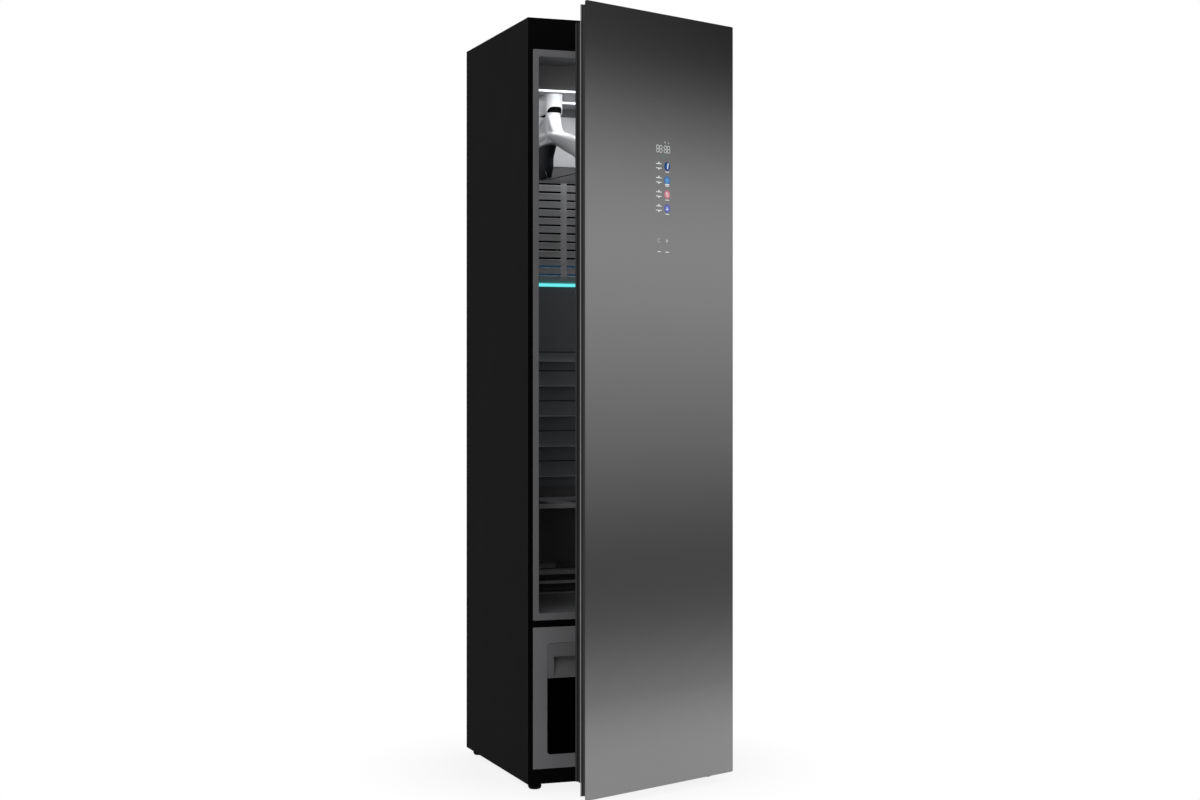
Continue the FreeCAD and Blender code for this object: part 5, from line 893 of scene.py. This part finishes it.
class CABINET_OT_display(Operator):
    """Clock digits, programme icons and touch marks that shine through the glass"""
    bl_idname = "cabinet.display"
    bl_label = "Display marks"

    # segment ends in a digit cell that is 1 wide and 2 high
    SEGMENTS = (((0, 2), (1, 2)), ((0, 1), (1, 1)), ((0, 0), (1, 0)), ((0, 1), (0, 2)), ((1, 1), (1, 2)),
                ((0, 0), (0, 1)), ((1, 0), (1, 1)))
    # left edges of the four digits, their foot and width, and the colon's x
    DIGIT_LEFTS, DIGIT_LOW, DIGIT_WIDTH, COLON_X = (-20.2, -9.6, 6.2, 16.8), 1522.0, 8.2, 2.4
    # columns of the level marks, the icons and the two touch marks; rows of the touch marks and their dashes
    LEVEL_X, ICON_X, BACK_X, START_X, TOUCH_Z, CAPTION_Z = -12.0, 16.3, -11.0, 16.0, 1313.0, 1286.5
    # rim colour, core colour and height of each round icon
    ICONS = (("#26467c", "#3c639c", 1489.8), ("#3f6ea6", "#6ea3dc", 1456.5), ("#c07886", "#ecaab4", 1423.2),
             ("#5660a8", "#8a94dc", 1389.9))

    def shown(self, name, outlines, material, lift=0.15):
        """One printed mark of (x, z) polygons in millimetres on the glass front, a little proud of it."""
        parts = []
        for outline in outlines:
            outline = np.asarray(outline, float) * MM
            face = np.full(len(outline), GLASS_FRONT - lift * MM)
            points = np.stack([outline[:, 0], face, outline[:, 1]], axis=-1)
            parts.append((ajar(points), np.arange(len(points))[None]))
        put(name, mesh_of(name, *parts), material, "door", smooth=False)

    def backlit(self, name, rim, core, centre, strength):
        """Backlit ink: its tone runs from the core's to the rim's with the distance from the centre."""
        material, tree, out, place = blank(name)
        middle = ajar([centre[0] * MM, GLASS_FRONT, centre[1] * MM])
        away = add(tree, "ShaderNodeVectorMath", {"operation": "DISTANCE", 1: tuple(middle)}, {0: place})
        share = add(tree, "ShaderNodeMapRange", {"From Min": 2.0 * MM, "From Max": 10.0 * MM},
                    {"Value": away.outputs["Value"]})
        tone = add(tree, "ShaderNodeMixRGB", {"Color1": linear(core), "Color2": linear(rim)}, {"Fac": share})
        glow = add(tree, "ShaderNodeEmission", {"Strength": strength}, {"Color": tone})
        tree.links.new(glow.outputs["Emission"], out.inputs["Surface"])
        return material

    def pill(self, x, z, half, thick):
        """Level dash with rounded ends."""
        angle = np.linspace(-np.pi / 2, np.pi / 2, 7)
        radius = thick / 2
        right = np.stack([x + half - radius + radius * np.cos(angle), z + radius * np.sin(angle)], axis=-1)
        left = np.stack([2 * x - right[:, 0], 2 * z - right[:, 1]], axis=-1)
        return np.vstack([right, left])

    def bar(self, start, end, width):
        """Six-cornered stroke between two points, pointed at both ends."""
        start, end = np.asarray(start, float), np.asarray(end, float)
        run = (end - start) / np.linalg.norm(end - start)
        side = np.array([-run[1], run[0]]) * width / 2
        inset = run * width / 2
        return [start, start + inset - side, end - inset - side,
                end, end - inset + side, start + inset + side]

    def disc(self, centre, radius, sides=40):
        """Regular polygon near a circle."""
        angle = full_turn(sides)
        return np.stack([centre[0] + radius * np.cos(angle), centre[1] + radius * np.sin(angle)], axis=-1)

    def digits(self, look):
        """Four seven-segment cells, all segments lit, and the colon between the pairs."""
        height = look.digit_height / MM
        cell = [self.DIGIT_WIDTH, height / 2]
        outlines = []
        for left in self.DIGIT_LEFTS:
            for segment in self.SEGMENTS:
                ends = np.array([left, self.DIGIT_LOW]) + np.array(segment, float) * cell
                gap = (ends[1] - ends[0]) / np.linalg.norm(ends[1] - ends[0]) * 0.5
                outlines.append(self.bar(ends[0] + gap, ends[1] - gap, look.stroke / MM))
        for share in (0.3, 0.7):
            outlines.append(self.disc((self.COLON_X, self.DIGIT_LOW + height * share), 0.7, 12))
        return outlines

    def execute(self, context):
        look = context.scene.cabinet_display
        # white print lit from behind; the captions are plain dashes
        white = glowing("mark_white", "#eef0f2", look.brightness)
        faint = glowing("mark_faint", "#c2c5c8", look.brightness)
        teal = glowing("mark_teal", "#76b0ae", look.brightness * 0.6)
        self.shown("clock_digits", self.digits(look), white)
        self.shown("status_marks", [[(6.0, 1548.9), (6.6, 1545.9), (12.0, 1543.9), (10.6, 1546.7)],
                                    [(17.6, 1548.3), (19.4, 1544.1), (23.6, 1543.7), (21.6, 1545.9)]], faint)
        self.shown("status_line", [self.pill(6.5, 1512.0, 14.5, 0.9)], teal)
        marks, captions = [], []
        x = self.LEVEL_X
        for _, _, z in self.ICONS:
            marks += [[(x, z + 10.2), (x - 3.4, z + 5.8), (x + 3.2, z + 5.8)],
                      self.pill(x, z + 4.6, 9.8, 1.7), self.pill(x, z - 5.4, 9.8, 1.7),
                      [(x - 3.4, z - 6.4), (x + 3.2, z - 6.4), (x, z - 10.2)]]
            captions.append(self.pill(self.ICON_X, z - 13.2, 6.6, 1.8))
        self.shown("programme_marks", marks, white)
        self.shown("programme_captions", captions, white)
        for i, (rim, core, z) in enumerate(self.ICONS):
            # coloured ink on a diffusing film: darker at the rim
            ink = self.backlit(f"icon_{i + 1}", rim, core, (self.ICON_X, z), look.brightness)
            self.shown(f"programme_icon_{i + 1}", [self.disc((self.ICON_X, z), 10.2)], ink)
        z = [entry[2] for entry in self.ICONS]
        x = self.ICON_X
        drawings = [[(17.6, z[0] + 8.4), (16.2, z[0] - 6.0), (18.8, z[0] - 6.0), (21.4, z[0] + 6.6)],
                    self.pill(x, z[1] - 9.6, 7.4, 2.8), self.disc((14.6, z[2] + 3.0), 2.2, 18),
                    self.pill(18.0, z[2] - 3.4, 3.0, 1.8), self.pill(x, z[3] - 2.4, 4.6, 1.8),
                    self.pill(x, z[3] + 1.2, 2.6, 1.4)]
        self.shown("icon_drawings", drawings, white, 0.3)
        # open ring: an arc out along its outer radius and back along its inner one
        ring = [(self.BACK_X + radius * math.cos(angle), self.TOUCH_Z + radius * math.sin(angle))
                for radius, start, end in ((5.0, 0.9, 5.4), (3.6, 5.4, 0.9))
                for angle in np.linspace(start, end, 18)]
        play = [(12.6, self.TOUCH_Z + 4.6), (12.6, self.TOUCH_Z - 4.6), (20.4, self.TOUCH_Z)]
        self.shown("touch_icons", [ring, play], faint)
        dashes = [self.pill(x, self.CAPTION_Z, 6.0, 1.8) for x in (self.BACK_X, self.START_X)]
        self.shown("touch_captions", dashes, white)
        return {"FINISHED"}


class CABINET_OT_stage(Operator):
    """Camera, lights, floor and world"""
    bl_idname = "cabinet.stage"
    bl_label = "Stage"

    EYE, LOOK_RUN = (-1.7059, -4.7801, 0.9724), (0.3412, 0.9400)
    # the picture is 1200 pixels wide and its middle lies 15.5 pixels off the level of the eye
    SHIFT = -15.5 / 1200
    # chamber lamps: y, depth, share of the mean power, tilt to the rear in degrees; the side of the front
    # lens lights the sockets and necks from the front
    LAMPS = {"front_lamp_light": (-0.134, 0.011, 0.95, 0.0), "rear_lamp_light": (0.056, 0.011, 0.85, 0.0),
             "front_lens_side": (-0.126, 0.004, 0.52, 75.0)}
    LAMP_LENGTH, LAMP_Z = 0.42, 1.6955
    # studio lights: place, size and power in watts; both are aimed at the middle of the cabinet
    STUDIO = {"key": ((-2.6, -3.2, 3.4), 2.4, 30.0), "fill": ((2.8, -3.4, 2.4), 2.6, 30.0)}
    AIM = (0, 0, 0.9)
    FLOOR_REACH = 30.0

    def area_lamp(self, name, place, turn, size, power):
        """Area lamp of a (width, depth) at a place, turned from facing down."""
        lamp = bpy.data.lights.new(name, "AREA")
        lamp.shape = "RECTANGLE"
        lamp.size, lamp.size_y = size
        lamp.energy = power
        piece = bpy.data.objects.new(name, lamp)
        piece.location = place
        piece.rotation_euler = turn
        bpy.context.scene.collection.objects.link(piece)

    def camera(self, scene, lens):
        """Level camera at the eye, turned about Z to the direction of LOOK_RUN."""
        data = bpy.data.cameras.new("view")
        data.lens = lens
        data.sensor_width = 36.0
        data.shift_y = self.SHIFT
        piece = bpy.data.objects.new("view", data)
        piece.location = self.EYE
        piece.rotation_euler = (math.pi / 2, 0.0, math.atan2(-self.LOOK_RUN[0], self.LOOK_RUN[1]))
        scene.collection.objects.link(piece)
        scene.camera = piece

    def floor(self, scene):
        """Wide floor, and its finish: white to the eye near and far, paper to the light that falls on it."""
        reach = self.FLOOR_REACH
        mesh = bpy.data.meshes.new("floor")
        mesh.from_pydata([(-reach, -reach, 0), (reach, -reach, 0), (reach, reach, 0), (-reach, reach, 0)], [],
                         [(0, 1, 2, 3)])
        floor = bpy.data.objects.new("floor", mesh)
        scene.collection.objects.link(floor)
        # matt white studio floor; seen straight on it reads as paper white and still takes the shadow
        material, tree, out, place = blank("studio_floor")
        path = add(tree, "ShaderNodeLightPath")
        seen = add(tree, "ShaderNodeMath", {"operation": "MAXIMUM"},
                   {0: path.outputs["Is Camera Ray"], 1: path.outputs["Is Glossy Ray"]})
        paper = add(tree, "ShaderNodeBsdfDiffuse", {"Color": linear("#f4f4f4")})
        white = add(tree, "ShaderNodeEmission")
        away = add(tree, "ShaderNodeVectorMath", {"operation": "LENGTH"}, {0: place})
        fade = add(tree, "ShaderNodeMapRange", {"From Min": 0.3, "From Max": 0.62, "To Min": 0.85},
                   {"Value": away.outputs["Value"]})
        share = add(tree, "ShaderNodeMath", {"operation": "MULTIPLY"}, {0: seen, 1: fade})
        both = add(tree, "ShaderNodeMixShader", links={0: share, 1: paper, 2: white})
        tree.links.new(both.outputs["Shader"], out.inputs["Surface"])
        mesh.materials.append(material)

    def world(self, scene, daylight):
        """Even daylight that camera, mirror and see-through rays find as plain white."""
        world = bpy.data.worlds.new("studio")
        world.use_nodes = True
        tree = world.node_tree
        tree.nodes.clear()
        path = add(tree, "ShaderNodeLightPath")
        shown = add(tree, "ShaderNodeMath", {"operation": "MAXIMUM"},
                    {0: path.outputs["Is Camera Ray"], 1: path.outputs["Is Glossy Ray"]})
        shown = add(tree, "ShaderNodeMath", {"operation": "MAXIMUM"},
                    {0: shown, 1: path.outputs["Is Transmission Ray"]})
        level = add(tree, "ShaderNodeMapRange", {"To Min": daylight}, {"Value": shown})
        sky = add(tree, "ShaderNodeBackground", {"Color": (1, 1, 1, 1)}, {"Strength": level})
        add(tree, "ShaderNodeOutputWorld", links={"Surface": sky})
        scene.world = world

    def execute(self, context):
        scene = context.scene
        look = scene.cabinet_stage
        scene.view_settings.view_transform = "Standard"
        self.camera(scene, look.lens)
        for name, (y, depth, share, tilt) in self.LAMPS.items():
            self.area_lamp(name, (0.0, y, self.LAMP_Z), (math.radians(tilt), 0.0, 0.0),
                           (self.LAMP_LENGTH, depth), look.lamp_power * share)
        for name, (place, size, power) in self.STUDIO.items():
            run = np.array(self.AIM) - np.array(place)
            turn = (math.atan2(math.hypot(run[0], run[1]), -run[2]), 0.0, math.atan2(-run[0], run[1]))
            self.area_lamp(name, place, turn, (size, size), power)
        self.floor(scene)
        self.world(scene, look.daylight)
        return {"FINISHED"}


class CABINET_PT_pieces(Panel):
    """Lists the cabinet's pieces and settings"""
    bl_idname = "CABINET_PT_pieces"
    bl_label = "Steam cabinet"
    bl_space_type = "VIEW_3D"
    bl_region_type = "UI"
    bl_category = "Cabinet"

    def draw(self, context):
        layout = self.layout
        for key in GROUPS:
            group = getattr(context.scene, key)
            box = layout.box()
            for setting in group.__annotations__:
                box.prop(group, setting)
        for operator in OPERATORS:
            layout.operator(operator.bl_idname)


OPERATORS = (CABINET_OT_stage, CABINET_OT_shell, CABINET_OT_chamber, CABINET_OT_hangers, CABINET_OT_shelf,
             CABINET_OT_tanks, CABINET_OT_machinery, CABINET_OT_door, CABINET_OT_display)
GROUPS = {"cabinet_finishes": CabinetFinishes, "cabinet_hangers": HangerShape,
          "cabinet_display": DisplayShape, "cabinet_stage": StageSettings}


def register():
    """Registers the settings, operators and panel."""
    for key, group in GROUPS.items():
        bpy.utils.register_class(group)
        setattr(bpy.types.Scene, key, PointerProperty(type=group))
    for entry in (*OPERATORS, CABINET_PT_pieces):
        bpy.utils.register_class(entry)


def unregister():
    """Removes what register() added."""
    for entry in (CABINET_PT_pieces, *reversed(OPERATORS)):
        bpy.utils.unregister_class(entry)
    for key, group in GROUPS.items():
        delattr(bpy.types.Scene, key)
        bpy.utils.unregister_class(group)


def main():
    register()
    for operator in OPERATORS:
        group, call = operator.bl_idname.split(".")
        getattr(getattr(bpy.ops, group), call)()


if __name__ == "__main__":
    main()
